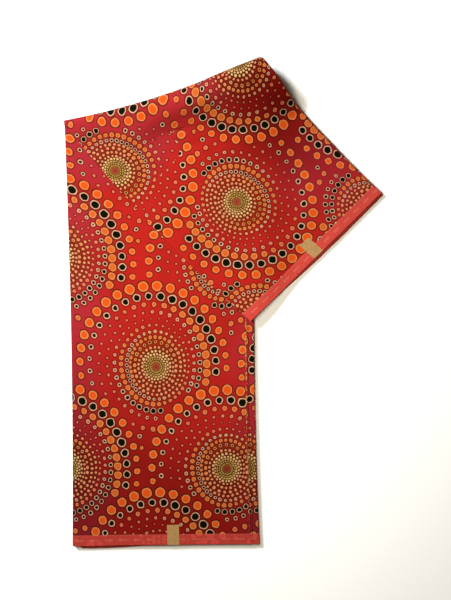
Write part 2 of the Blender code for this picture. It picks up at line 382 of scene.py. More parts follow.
@dataclass(frozen=True)
class Hems:
    """How far each layer's selvage slips out past the others at the two ends of the strip."""

    pile: Pile
    wander: float = 0.0004
    slip: float = 0.0050
    slip_from: float = 0.03
    slip_to: float = 0.62
    flap_step: float = 0.0068

    def leg(self, layer: np.ndarray, across: np.ndarray) -> np.ndarray:
        """Returns how far a layer reaches out at the leg's hem, in metres.

        Args:
            layer: the layer of each place.
            across: shares of the way across the strip.

        Returns:
            The distances, outwards above 0.
        """
        low = ease((layer - self.pile.layers * 0.45) / 3.0)
        shape = ease((across - self.slip_from) / 0.012) * (1.0 - ease((across - 0.1) / (self.slip_to - 0.1)))
        waves = np.sin(2.3 * layer + 5.0 * across) + 0.6 * np.sin(1.1 * layer + 13.0 * across)
        edge = ease(across / 0.03) * ease((1.0 - across) / 0.03)
        return self.slip * low * shape + self.wander * waves * edge

    def flap(self, layer: np.ndarray, across: np.ndarray) -> np.ndarray:
        """Returns how far a layer reaches out at the flap's hem, in metres.

        Args:
            layer: the layer of each place.
            across: shares of the way across the strip.

        Returns:
            The distances, outwards above 0.
        """
        under = (self.pile.layers - layer) / (self.pile.layers - 1)
        waves = np.sin(1.9 * layer + 4.0 * across) + 0.5 * np.sin(3.1 * layer + 11.0 * across)
        return self.flap_step * under * blend(0.10, 1.15, ease(across * 1.4)) + self.wander * waves

    def moved(self, layer: np.ndarray, across: np.ndarray, along: np.ndarray) -> np.ndarray:
        """Moves places along the strip so that each layer ends where its own selvage does.

        Args:
            layer: the layer that each place is in.
            across: shares of the way across the strip.
            along: even places along the strip, from 0 to 3.

        Returns:
            The places along the strip, drawn out at its two ends.
        """
        out = self.leg(layer, across) / self.pile.length(LEG, LOOP) * (1.0 - ease(along / 0.10))
        on = self.flap(layer, across) / self.pile.length(FLAP, END) * ease((along - END + 0.2) / 0.2)
        return along - out + on


@dataclass(frozen=True)
class Print:
    """Which part of the flat cloth shows at each place of the folded one."""

    pile: Pile
    first_motif: float = 0.0158
    flap_motif: float = -0.0275
    drift_left: tuple[float, float] = (0.0161, 0.0115)
    drift_right: float = -0.0120
    drift_middle: float = 0.0042
    leg_drift: tuple[float, float] = (-0.0035, -0.0082)
    leg_skew: float = 0.020

    def drift(self, across: np.ndarray, along: np.ndarray) -> np.ndarray:
        """Returns how far the print has been pulled askew on the flap, in metres.

        Args:
            across: shares of the way across the strip.
            along: places along the strip.

        Returns:
            The distances down the length of cloth.
        """
        left = blend(*self.drift_left, np.clip(along - FLAP, 0.0, 1.0))
        pulled = blend(left, self.drift_right, across) + self.drift_middle * arch(across)
        return pulled * ease((along - 1.3) / 0.5)

    def height(self, across: np.ndarray, length: np.ndarray) -> np.ndarray:
        """Works out the distance from the selvage, with the pull that the print has high on the leg.

        Args:
            across: shares of the way across the strip.
            length: the length of cloth up to each place, in metres.

        Returns:
            The distance from the leg's selvage that the print is drawn at, in metres.
        """
        pulled = ease((length - 0.20) / 0.29) * (1.0 - ease((length - 0.56) / 0.22))
        return length + blend(*self.leg_drift, across) * pulled

    def distance(self, layer: np.ndarray, across: np.ndarray, along: np.ndarray) -> np.ndarray:
        """Works out the distance down the length of cloth.

        Args:
            layer: the layer, from 1 on top of the leg.
            across: shares of the way across the strip.
            along: places along the strip.

        Returns:
            The distance from the row of motifs that the print is counted from, in metres.
        """
        width = blend(self.pile.width, self.pile.flap_width, ease((along - LOOP) / (FLAP - LOOP)))
        folds = layer - 1.0
        skewed = self.leg_skew * (np.clip(along, 0.0, 1.0) - 0.53) * (1.0 - across) ** 2
        right_way = self.first_motif - folds * width + across * width + skewed
        wrong_way = self.first_motif - (folds - 1.0) * width - across * width
        odd = np.mod(np.round(layer), 2.0) == 1.0
        counted = np.where(odd, right_way, wrong_way)
        last = (1.0 - across) * width + self.flap_motif + self.drift(across, along)
        return np.where(np.round(layer) == self.pile.layers, last, counted)

    def at(
        self, lengths: PathLengths, layer: np.ndarray, across: np.ndarray, along: np.ndarray
    ) -> tuple[np.ndarray, np.ndarray]:
        """Works out where on the flat cloth some places of the folded one are.

        Args:
            lengths: how far up the cloth each place is.
            layer: the layer that each place is in.
            across: shares of the way across the strip.
            along: even places along the strip.

        Returns:
            The distances down the length of cloth, and those from the selvage, in metres.
        """
        return self.distance(layer, across, along), self.height(across, lengths.at(across, along))


def placed_object(name: str, data: bpy.types.ID) -> bpy.types.Object:
    """Returns a new object for a mesh, lamp or camera, placed in the scene at the origin.

    Args:
        name: what the object is called.
        data: its mesh, lamp or camera.

    Returns:
        The object.
    """
    made = bpy.data.objects.new(name, data)
    bpy.context.scene.collection.objects.link(made)
    return made


def closed_shell(
    name: str, grid: np.ndarray, cloth_at: tuple[np.ndarray, np.ndarray], thickness: float
) -> tuple[list, list, list]:
    """Thickens a grid of points to a closed wall of cloth.

    Args:
        name: the piece that it is for, named if the grid is too small.
        grid: points, as rows by columns by three.
        cloth_at: at each point, the distance down the length of cloth and that from the selvage.
        thickness: the wall, in metres.

    Returns:
        Its vertices, its faces, and the cloth coordinates of each vertex.
    """
    high, wide = grid.shape[:2]
    if high < 2 or wide < 2:
        raise ValueError(f"{name} has too few points for a wall")
    normals = unit(np.cross(np.gradient(grid, axis=0), np.gradient(grid, axis=1)))
    half = thickness / 2.0
    outer, inner = grid + normals * half, grid - normals * half
    vertices = np.concatenate([outer.reshape(-1, 3), inner.reshape(-1, 3)])
    coordinates = np.stack([values.reshape(-1) for values in cloth_at], axis=-1)
    coordinates = np.concatenate([coordinates, coordinates])
    index = np.arange(high * wide).reshape(high, wide)
    low = index + high * wide
    a, b, c, d = index[:-1, :-1], index[1:, :-1], index[1:, 1:], index[:-1, 1:]
    faces = np.stack([a, b, c, d], axis=-1).reshape(-1, 4)
    under = np.stack([a, d, c, b], axis=-1).reshape(-1, 4) + high * wide
    rims = []
    for edge, under_edge, flip in (
        (index[0], low[0], False),
        (index[-1], low[-1], True),
        (index[:, 0], low[:, 0], True),
        (index[:, -1], low[:, -1], False),
    ):
        rim = np.stack([edge[:-1], edge[1:], under_edge[1:], under_edge[:-1]], axis=-1)
        rims.append(rim[:, ::-1] if flip else rim)
    quads = np.concatenate([faces, under, *rims])
    corners = vertices[quads]
    turned = np.cross(corners[:, 2] - corners[:, 0], corners[:, 3] - corners[:, 1])
    if float((corners.mean(axis=1) * turned).sum()) < 0.0:
        quads = quads[:, ::-1]
    return list(vertices), list(quads), list(coordinates)


class MeshBasket:
    """Collects walls of cloth and other shells, and turns them into one piece."""

    def __init__(self, name: str) -> None:
        """Starts an empty basket for the piece of this name.

        Args:
            name: what the piece is called.
        """
        self.name = name
        self.vertices: list = []
        self.faces: list = []
        self.coordinates: list = []

    def add(self, vertices: list, faces: list, coordinates: list) -> None:
        """Adds one closed shell.

        Args:
            vertices: its points.
            faces: its faces, by the numbers of their points.
            coordinates: the cloth coordinates of each point.
        """
        start = len(self.vertices)
        self.vertices += vertices
        self.faces += [[int(corner) + start for corner in face] for face in faces]
        self.coordinates += coordinates

    def piece(self, material: bpy.types.Material) -> bpy.types.Object:
        """Makes the object, with its cloth coordinates as a UV map.

        Args:
            material: what the piece is made of.

        Returns:
            The piece, at the origin.
        """
        mesh = bpy.data.meshes.new(self.name)
        mesh.from_pydata([tuple(v) for v in self.vertices], [], self.faces)
        layer = mesh.uv_layers.new(name="Cloth")
        corners = np.empty(len(mesh.loops), dtype=np.int32)
        mesh.loops.foreach_get("vertex_index", corners)
        layer.data.foreach_set("uv", np.array(self.coordinates, dtype=np.float32)[corners].ravel())
        mesh.polygons.foreach_set("use_smooth", np.ones(len(mesh.polygons), dtype=bool))
        mesh.set_sharp_from_angle(angle=math.radians(50.0))
        mesh.materials.append(material)
        mesh.update()
        LOG.info("%s: %d faces", self.name, len(mesh.polygons))
        return placed_object(self.name, mesh)


@dataclass(frozen=True)
class RawEdge:
    """The cut end of the length of cloth, as it wanders beside the edge of the strip."""

    inset: float
    wave: float
    phase: float

    def at(self, along: np.ndarray) -> np.ndarray:
        """Returns how far inside the strip's right edge the cut lies, in metres.

        Args:
            along: places along the strip.

        Returns:
            The distances, one for each place.
        """
        slow = np.sin(4.1 * along + self.phase) + 0.5 * np.sin(9.7 * along + 2.0 * self.phase)
        quick = 0.35 * np.sin(31.0 * along + self.phase) + 0.25 * np.sin(67.0 * along)
        return self.inset + self.wave * (slow + quick)


@dataclass
class ClothSheet:
    """One whole layer of the cloth: raw at the strip's right, and folded under its neighbour at the left."""

    name: str
    pile: Pile
    lengths: PathLengths
    hems: Hems
    print_map: Print
    layer: int
    neighbour: int
    raw: RawEdge
    alongs: np.ndarray
    wall: float = 0.00034
    arm: float = 0.010
    columns: int = 78
    rumples: tuple[Crease, ...] = ()

    def profile(self, along: np.ndarray) -> tuple[np.ndarray, np.ndarray, np.ndarray]:
        """Lays out the sheet across the strip, from its cut edge to the end of its folded arm.

        Args:
            along: the rows' places along the strip.

        Returns:
            The places across, the lifts and the layer of each point, as rows by columns.
        """
        width, pitch = self.pile.width, self.pile.pitch
        own, other = self.pile.layer_lift(self.layer), self.pile.layer_lift(self.neighbour)
        right = 1.0 - self.raw.at(along)[:, None] / width
        flat = blend(right, pitch / 2 / width, np.linspace(0.0, 1.0, self.columns)[None, :])
        turn = np.linspace(0.0, math.pi, BEND_POINTS)[1:-1]
        bend = pitch / 2 / width * (1.0 - np.sin(turn))[None, :] + 0.0 * right
        arm = np.linspace(pitch / 2, self.arm, 4)[None, :] / width + 0.0 * right
        across = np.concatenate([flat, bend, arm], axis=1)
        shares = np.concatenate([np.zeros(self.columns), (1.0 - np.cos(turn)) / 2.0, np.ones(4)])
        lift = blend(own, other, shares)[None, :] + 0.0 * across
        layer = np.where(shares < 0.5, self.layer, self.neighbour)[None, :] + 0.0 * across
        return across, lift, layer

    def build(self, material: bpy.types.Material) -> bpy.types.Object:
        """Builds the sheet as a thin wall.

        Args:
            material: the printed cotton.

        Returns:
            The piece.
        """
        across, lift, layer = self.profile(self.alongs)
        even = self.alongs[:, None] + 0.0 * across
        along = self.hems.moved(layer, np.clip(across, 0.0, 1.0), even)
        outward = np.sign(self.pile.layer_lift(self.layer))
        plan = self.pile.middle(across, along)[..., :2]
        for rumple in self.rumples:
            shown = np.where(layer == self.layer, 1.0, 0.0) * ease(across / 0.02)
            lift = lift + outward * rumple.rise(plan) * shown
        grid = self.pile.point(across, along, lift)
        cloth_at = self.print_map.at(self.lengths, layer, across, even)
        basket = MeshBasket(self.name)
        basket.add(*closed_shell(self.name, grid, cloth_at, self.wall))
        return basket.piece(material)

    def cut_edge(self, count: int, first: float, last: float) -> tuple[np.ndarray, np.ndarray]:
        """Finds the line of the cut edge and which way its threads point.

        Args:
            count: how many points to give.
            first: where along the strip the line starts.
            last: where along the strip the line ends.

        Returns:
            The points, and the unit directions away from the cloth.
        """
        along = np.linspace(first, last, count)
        across = 1.0 - self.raw.at(along) / self.pile.width
        lift = np.full(count, self.pile.layer_lift(self.layer))
        points = self.pile.point(across, along, lift)
        beyond = self.pile.point(across + 0.002, along, lift)
        return points, unit(beyond - points)


@dataclass
class FoldedLayers:
    """The layers between: folded strips along both sides, selvages at both ends, and a solid middle."""

    name: str
    pile: Pile
    lengths: PathLengths
    hems: Hems
    print_map: Print
    wall: float = 0.00032
    arm: float = 0.0105
    wander: float = 0.0007
    rows: int = 150
    leaf_depth: float = 0.020
    leaf_columns: int = 60
    leaf_rows: int = 5
    leaf_inset: float = 0.004
    core_inset: tuple[float, float] = (0.0015, 0.002)
    core_layers_short: float = 2.6
    core_grid: tuple[int, int] = (110, 30)

    def reach(self, layer: int, side: Side, along: np.ndarray) -> np.ndarray:
        """Returns how far a fold stands out past the edge of the strip, in metres.

        Args:
            layer: the upper layer of the fold.
            side: the edge of the strip that it lies at.
            along: places along the strip.

        Returns:
            The distances, outwards above 0.
        """
        phase = 2.4 * layer + 1.3 * side.value
        waves = np.sin(2.2 * along + 1.7 * phase) + 0.6 * np.sin(phase) + 0.3 * np.sin(9.0 * along + phase)
        return self.wander * (waves - 1.0)

    def fold(self, layer: int, side: Side) -> tuple[list, list, list]:
        """Builds the strip where two layers meet in a fold.

        Args:
            layer: the upper of the two layers.
            side: the side of the strip that the fold lies at.

        Returns:
            The strip as a closed wall.
        """
        along = np.linspace(LEG, END, self.rows)
        upper, lower = self.pile.layer_lift(layer), self.pile.layer_lift(layer + 1)
        radius = self.pile.pitch / 2
        turn = np.linspace(0.0, math.pi, BEND_POINTS)
        arm = np.array([-self.arm, -self.arm * 0.5, -self.arm * 0.15])
        reach = self.reach(layer, side, along)[:, None]
        out = np.concatenate([arm, radius * (np.sin(turn) - 1.0), arm[::-1]])[None, :]
        out = np.where(out > -self.arm * 0.3, out + reach, out + reach * 0.5)
        shares = np.concatenate([np.zeros(3), (1.0 - np.cos(turn)) / 2.0, np.ones(3)])
        across = out / self.pile.width
        across = 1.0 + across if side is Side.RIGHT else -across
        lift = blend(upper, lower, shares)[None, :] + 0.0 * across
        number = np.where(shares < 0.5, layer, layer + 1)[None, :] + 0.0 * across
        even = along[:, None] + 0.0 * across
        moved = self.hems.moved(number, np.clip(across, 0.0, 1.0), even)
        grid = self.pile.point(across, moved, lift)
        cloth_at = self.print_map.at(self.lengths, number, across, even)
        return closed_shell(self.name, grid, cloth_at, self.wall)

    def leaf(self, layer: int, at_flap: bool) -> tuple[list, list, list]:
        """Builds the end of one layer, with its selvage.

        Args:
            layer: the layer.
            at_flap: whether it is the end at the flap.

        Returns:
            The leaf as a closed wall.
        """
        inset = self.arm / self.pile.width + self.leaf_inset
        across_line = np.linspace(inset, 1.0 - inset, self.leaf_columns)
        share = np.linspace(0.0, 1.0, self.leaf_rows)
        stretch = self.pile.length(FLAP, END) if at_flap else self.pile.length(LEG, LOOP)
        deep = self.leaf_depth / stretch
        places = END - share * deep if at_flap else share * deep
        even, across = np.meshgrid(places, across_line, indexing="ij")
        number = np.full_like(even, layer)
        moved = self.hems.moved(number, across, even)
        lift = np.full_like(even, self.pile.layer_lift(layer))
        grid = self.pile.point(across, moved, lift)
        cloth_at = self.print_map.at(self.lengths, number, across, even)
        return closed_shell(self.name, grid, cloth_at, self.wall)

    def core(self) -> tuple[list, list, list]:
        """Builds the middle of the pile, which shows only as the depth between its layers.

        Returns:
            The middle as a closed wall.
        """
        inset = (self.arm + self.core_inset[0]) / self.pile.width
        first = (self.leaf_depth + self.core_inset[1]) / self.pile.length(LEG, LOOP)
        last = END - (self.leaf_depth + self.core_inset[1]) / self.pile.length(FLAP, END)
        rows, columns = self.core_grid
        places, shares = np.linspace(first, last, rows), np.linspace(inset, 1 - inset, columns)
        along, across = np.meshgrid(places, shares, indexing="ij")
        grid = self.pile.point(across, along, np.zeros_like(along))
        thick = self.pile.thickness - self.core_layers_short * self.pile.pitch
        cloth_at = self.print_map.at(self.lengths, np.full_like(along, 2), across, along)
        return closed_shell(self.name, grid, cloth_at, thick)

    def build(self, material: bpy.types.Material) -> bpy.types.Object:
        """Builds all the hidden layers as one piece.

        Args:
            material: the printed cotton.

        Returns:
            The piece.
        """
        basket = MeshBasket(self.name)
        basket.add(*self.core())
        for layer in range(2, self.pile.layers - 1):
            basket.add(*self.fold(layer, Side.RIGHT if layer % 2 == 0 else Side.LEFT))
        for layer in range(2, self.pile.layers):
            basket.add(*self.leaf(layer, at_flap=False))
            basket.add(*self.leaf(layer, at_flap=True))
        return basket.piece(material)


@dataclass
class Sticker:
    """A blank foil sticker on a selvage, turned over its edge."""

    name: str
    pile: Pile
    hems: Hems
    layer: int
    across: float
    width: float = 0.0205
    height: float = 0.034
    tuck: float = 0.0035
    wall: float = 0.00022
    gap: float = 0.00030
    half_sheet: float = 0.00017
    columns: int = 9
    rows: int = 16
    tuck_rows: int = 3

    def build(self, material: bpy.types.Material) -> bpy.types.Object:
        """Builds the sticker on the face of its layer.

        Args:
            material: the foil.

        Returns:
            The piece.
        """
        on_flap = self.layer > 1
        stretch = self.pile.length(FLAP, END) if on_flap else self.pile.length(LEG, LOOP)
        hem = END if on_flap else LEG
        inward = -1.0 if on_flap else 1.0
        side = Face.TOP_OF_FLAP if on_flap else Face.TOP_OF_LEG
        face = self.pile.layer_lift(self.layer) + side.value * (self.half_sheet + self.gap)
        width = self.pile.flap_width if on_flap else self.pile.width
        wide = np.linspace(-0.5, 0.5, self.columns) * self.width / width + self.across
        down = np.concatenate([np.linspace(self.height, 0.0, self.rows), np.full(self.tuck_rows, -0.0004)])
        tucked = np.linspace(0.2, 1.0, self.tuck_rows) * self.tuck
        drop = np.concatenate([np.zeros(self.rows), tucked])
        along, across = np.meshgrid(hem + inward * down / stretch, wide, indexing="ij")
        moved = self.hems.moved(np.full_like(along, self.layer), across, along)
        lift = np.full_like(along, face) - side.value * drop[:, None]
        grid = self.pile.point(across, moved, lift)
        basket = MeshBasket(self.name)
        foil_at = ((across - self.across) * width, down[:, None] + 0.0 * across)
        basket.add(*closed_shell(self.name, grid, foil_at, self.wall))
        return basket.piece(material)


def node_group(name: str, kind: str, inputs: tuple, outputs: tuple) -> bpy.types.NodeTree:
    """Makes a node group with named sockets and no nodes in it.

    Args:
        name: what the group is called.
        kind: the kind of tree.
        inputs: the name and the type of each input.
        outputs: the same of each output.

    Returns:
        The group's tree.
    """
    tree = bpy.data.node_groups.new(name, kind)
    for way, sockets in (("INPUT", inputs), ("OUTPUT", outputs)):
        for label, sort in sockets:
            tree.interface.new_socket(label, in_out=way, socket_type="NodeSocket" + sort)
    return tree


class Wiring:
    """Places shader nodes in a tree and joins them up."""

    def __init__(self, tree: bpy.types.NodeTree) -> None:
        """Starts wiring in this tree."""
        self.tree = tree
        self.placed = 0

    def node(self, kind: str, inputs: dict | None = None, **settings: object) -> bpy.types.Node:
        """Places one node.

        Args:
            kind: the node's type name in Blender.
            inputs: by socket name or number, a value or the socket that feeds it.
            settings: the node's own properties.

        Returns:
            The node.
        """
        made = self.tree.nodes.new(kind)
        made.location = (self.placed % 24 * 180.0, self.placed // 24 * -240.0)
        self.placed += 1
        for name, value in settings.items():
            setattr(made, name, value)
        for name, value in (inputs or {}).items():
            if isinstance(value, bpy.types.NodeSocket):
                self.tree.links.new(value, made.inputs[name])
            else:
                made.inputs[name].default_value = value
        return made

    def math(self, operation: str, *values: Feed, clamp: bool = False) -> bpy.types.NodeSocket:
        """Places a sum on numbers and returns its result."""
        made = self.node("ShaderNodeMath", dict(enumerate(values)), operation=operation, use_clamp=clamp)
        return made.outputs[0]

    def times(self, first: Feed, second: Feed, clamp: bool = False) -> bpy.types.NodeSocket:
        """Returns the product of two numbers."""
        return self.math("MULTIPLY", first, second, clamp=clamp)

    def minus(self, first: Feed, second: Feed) -> bpy.types.NodeSocket:
        """Returns the first number less the second."""
        return self.math("SUBTRACT", first, second)

    def vector(self, operation: str, *values: Feed) -> bpy.types.NodeSocket:
        """Places a sum on vectors and returns the vector."""
        return self.node("ShaderNodeVectorMath", dict(enumerate(values)), operation=operation).outputs[0]

    def length(self, value: Feed) -> bpy.types.NodeSocket:
        """Returns the length of a vector."""
        return self.node("ShaderNodeVectorMath", {0: value}, operation="LENGTH").outputs["Value"]

    def parts(self, value: Feed) -> bpy.types.bpy_prop_collection:
        """Returns the three numbers of a vector."""
        return self.node("ShaderNodeSeparateXYZ", {0: value}).outputs

    def joined(self, first: Feed, second: Feed) -> bpy.types.NodeSocket:
        """Returns a flat vector of two numbers."""
        return self.node("ShaderNodeCombineXYZ", {0: first, 1: second}).outputs[0]

    def smooth(
        self, value: Feed, low: float, high: float, start: float = 0.0, end: float = 1.0
    ) -> bpy.types.NodeSocket:
        """Returns a soft step: start at low, end at high."""
        inputs = {"Value": value, "From Min": low, "From Max": high, "To Min": start, "To Max": end}
        return self.node("ShaderNodeMapRange", inputs, interpolation_type="SMOOTHSTEP").outputs[0]

    def mix(
        self, share: Feed, first: Feed, second: Feed, blend_type: str = "MIX"
    ) -> bpy.types.NodeSocket:
        """Returns the blend of two colours.

        Args:
            share: how much of the second colour shows.
            first: the first colour.
            second: the second colour.
            blend_type: how Blender blends them.

        Returns:
            The blend.
        """
        made = self.node("ShaderNodeMix", {0: share, 6: first, 7: second}, data_type="RGBA")
        made.blend_type = blend_type
        return made.outputs[2]

    def mix_value(self, share: Feed, first: Feed, second: Feed) -> bpy.types.NodeSocket:
        """Returns the blend of two numbers."""
        return self.node("ShaderNodeMix", {0: share, 2: first, 3: second}, data_type="FLOAT").outputs[0]

    def distance(self, place: Feed, middle: tuple[float, float, float]) -> bpy.types.NodeSocket:
        """Returns how far, in plan, a place is from the middle given."""
        return self.length(self.vector("MULTIPLY", self.vector("SUBTRACT", place, middle), IN_PLAN))

    def noise(self, at: Feed, scale: float, detail: float = 2.0, output: str = "Fac") -> bpy.types.NodeSocket:
        """Returns even noise at the places given."""
        inputs = {"Vector": at, "Scale": scale, "Detail": detail}
        return self.node("ShaderNodeTexNoise", inputs, noise_dimensions="2D").outputs[output]


def linear(red: int, green: int, blue: int) -> tuple[float, float, float, float]:
    """Turns a colour, as it looks on a screen under the lamps, into what the cloth itself reflects.

    Args:
        red: the red part on the screen, from 0 to 255.
        green: the green part.
        blue: the blue part.

    Returns:
        The colour as shares of light, with a full alpha.
    """
    shares = [value / 255.0 for value in (red, green, blue)]
    turned = [s / 12.92 if s <= 0.04045 else ((s + 0.055) / 1.055) ** 2.4 for s in shares]
    return (*(value / LAMPLIGHT for value in turned), 1.0)


@dataclass(frozen=True)
class DotRing:
    """One ring of dots round a motif. Lengths are millimetres of flat cloth, and directions are degrees.

    The ring stands out by reach in one direction and by second in two opposite ones. Its dots swell
    in the direction swell_at, where they have the colour of rim, and have that of far_rim on the far
    side. Their hearts grow in the direction core_at.
    """

    radius: float
    count: int
    dot: float
    rim: tuple
    far_rim: tuple
    core: tuple
    reach: float = 0.0
    reach_at: float = 0.0
    second: float = 0.0
    second_at: float = 0.0
    turn: float = 0.0
    swell: float = 0.0
    swell_at: float = 0.0
    core_share: float = 0.0
    core_swell: float = 0.0
    core_at: float = 0.0

    def values(self) -> dict[str, float]:
        """Returns the ring's numbers by the names of the node group's inputs.

        Returns:
            Each value by the name of its socket.
        """
        turned = math.radians
        return {
            "Ring Radius": self.radius,
            "Count": self.count,
            "Dot": self.dot,
            "Reach": self.reach,
            "Reach At": turned(self.reach_at),
            "Second": self.second,
            "Second At": turned(self.second_at),
            "Turn": turned(self.turn),
            "Swell": self.swell,
            "Swell At": turned(self.swell_at),
            "Core": self.core_share,
            "Core Swell": self.core_swell,
            "Core At": turned(self.core_at),
        }


@dataclass(frozen=True)
class PrintColours:
    """The dyes of the print, as they look in even light, and one darker, more purple red for painted shade.
    """

    ground: tuple = linear(211, 40, 34)
    ground_deep: tuple = linear(166, 32, 22)
    # Painted shade: a darker, more purple red laid towards the strip's long edges on the leg and round the
    # crease.
    shaded_ground: tuple = linear(192, 50, 62)
    ground_brown: tuple = linear(146, 46, 4)
    halo: tuple = linear(108, 34, 3)
    black: tuple = linear(14, 18, 3)
    cream: tuple = linear(250, 192, 156)
    orange: tuple = linear(235, 111, 44)
    bright_orange: tuple = linear(252, 97, 28)
    tan: tuple = linear(246, 152, 88)
    peach: tuple = linear(250, 162, 116)
    olive: tuple = linear(184, 160, 80)
    straw: tuple = linear(246, 200, 126)
    rose: tuple = linear(250, 130, 106)
    heart: tuple = linear(178, 70, 52)
    selvage: tuple = linear(240, 78, 68)
    selvage_line: tuple = linear(250, 150, 130)


DYES = PrintColours()
RINGS: tuple[DotRing, ...] = (
    DotRing(9.6, 16, 1.9, DYES.olive, DYES.olive, DYES.olive),
    DotRing(13.6, 20, 2.0, DYES.olive, DYES.olive, DYES.straw, turn=8, core_share=0.4),
    DotRing(17.4, 23, 2.1, DYES.straw, DYES.olive, DYES.straw, turn=3, core_share=0.4),
    DotRing(21.4, 24, 2.2, DYES.straw, DYES.straw, DYES.cream, turn=9, core_share=0.5),
    DotRing(25.8, 24, 2.3, DYES.straw, DYES.peach, DYES.cream, 0.5, 9, 0.8, 90, 90, 0.05, 90, 0.4),
    DotRing(32.0, 27, 2.4, DYES.peach, DYES.peach, DYES.rose, 0.2, -152, 1.1, 86, 93, 0.05, 200, 0.3),
    DotRing(
        39.1, 25, 3.0, DYES.tan, DYES.peach, DYES.black, 1.4, 138, 2.4, 88, turn=90,
        swell=0.12, swell_at=130, core_share=0.20, core_swell=0.38, core_at=95,
    ),
    DotRing(
        46.8, 36, 2.9, DYES.tan, DYES.peach, DYES.orange, 1.9, 120, 2.0, 90, turn=91,
        swell=0.12, swell_at=120, core_share=0.35, core_swell=0.25, core_at=120,
    ),
    DotRing(
        54.3, 37, 3.0, DYES.cream, DYES.peach, DYES.black, 2.4, 96, 3.0, 89, turn=90.4,
        swell=0.20, swell_at=190, core_share=0.34, core_swell=0.36, core_at=195,
    ),
    DotRing(
        63.4, 37, 3.2, DYES.tan, DYES.rose, DYES.orange, 3.9, 118, 3.6, 89, turn=89,
        swell=0.36, swell_at=215, core_share=0.50, core_swell=0.22, core_at=215,
    ),
    DotRing(
        74.3, 36, 3.4, DYES.cream, DYES.rose, DYES.black, 4.2, 130, 3.9, -88, turn=95.6,
        swell=0.50, swell_at=270, core_share=0.38, core_swell=0.42, core_at=270,
    ),
    DotRing(
        86.1, 37, 3.4, DYES.cream, DYES.rose, DYES.black, 4.7, 149, 4.1, -90, turn=93.4,
        swell=0.36, swell_at=340, core_share=0.40, core_swell=0.32, core_at=330,
    ),
    DotRing(
        100.8, 37, 4.5, DYES.tan, DYES.rose, DYES.orange, 5.2, -175, 5.3, -89, turn=91,
        swell=0.52, swell_at=5, core_share=0.58, core_swell=0.18, core_at=0,
    ),
    DotRing(
        116.3, 36, 5.7, DYES.cream, DYES.cream, DYES.black, 5.3, -168, 4.4, 88, turn=95.4,
        swell=0.40, swell_at=55, core_share=0.68, core_swell=0.12, core_at=45,
    ),
    DotRing(
        134.2, 36, 5.8, DYES.tan, DYES.tan, DYES.bright_orange, 4.7, -152, 4.9, 88, turn=88.6,
        swell=0.50, swell_at=102, core_share=0.66, core_swell=0.10, core_at=95,
    ),
)


@dataclass(frozen=True)
class Repeat:
    """How the motifs stand on the cloth, in millimetres of flat cloth."""

    cell: tuple[float, float] = (285.0, 353.0)
    first: tuple[float, float] = (0.0, 131.0)
    step: tuple[float, float] = (162.0, 176.5)
    disc: tuple[float, float] = (135.0, 141.0)
    disc_middle: tuple[float, float] = (-4.3, 6.0)
    gap_dot: float = 3.6
    gap_spacing: float = 19.0
    gap_clear: float = 1.09
    shake_scale: float = 0.13
    shake_size: float = 2.5
    half_pixel: float = 0.6

    def disc_share(self, w: Wiring, place: Feed) -> bpy.types.NodeSocket:
        """Places the sums that say how far out in a motif's disc a place is.

        Args:
            w: the wiring.
            place: the place, measured from the motif.

        Returns:
            The share, 1 at the disc's rim.
        """
        middle = (self.disc_middle[0], self.disc_middle[1], 0.0)
        from_middle = w.vector("SUBTRACT", place, middle)
        scaled = w.vector("MULTIPLY", from_middle, (1.0 / self.disc[0], 1.0 / self.disc[1], 0.0))
        return w.length(scaled)


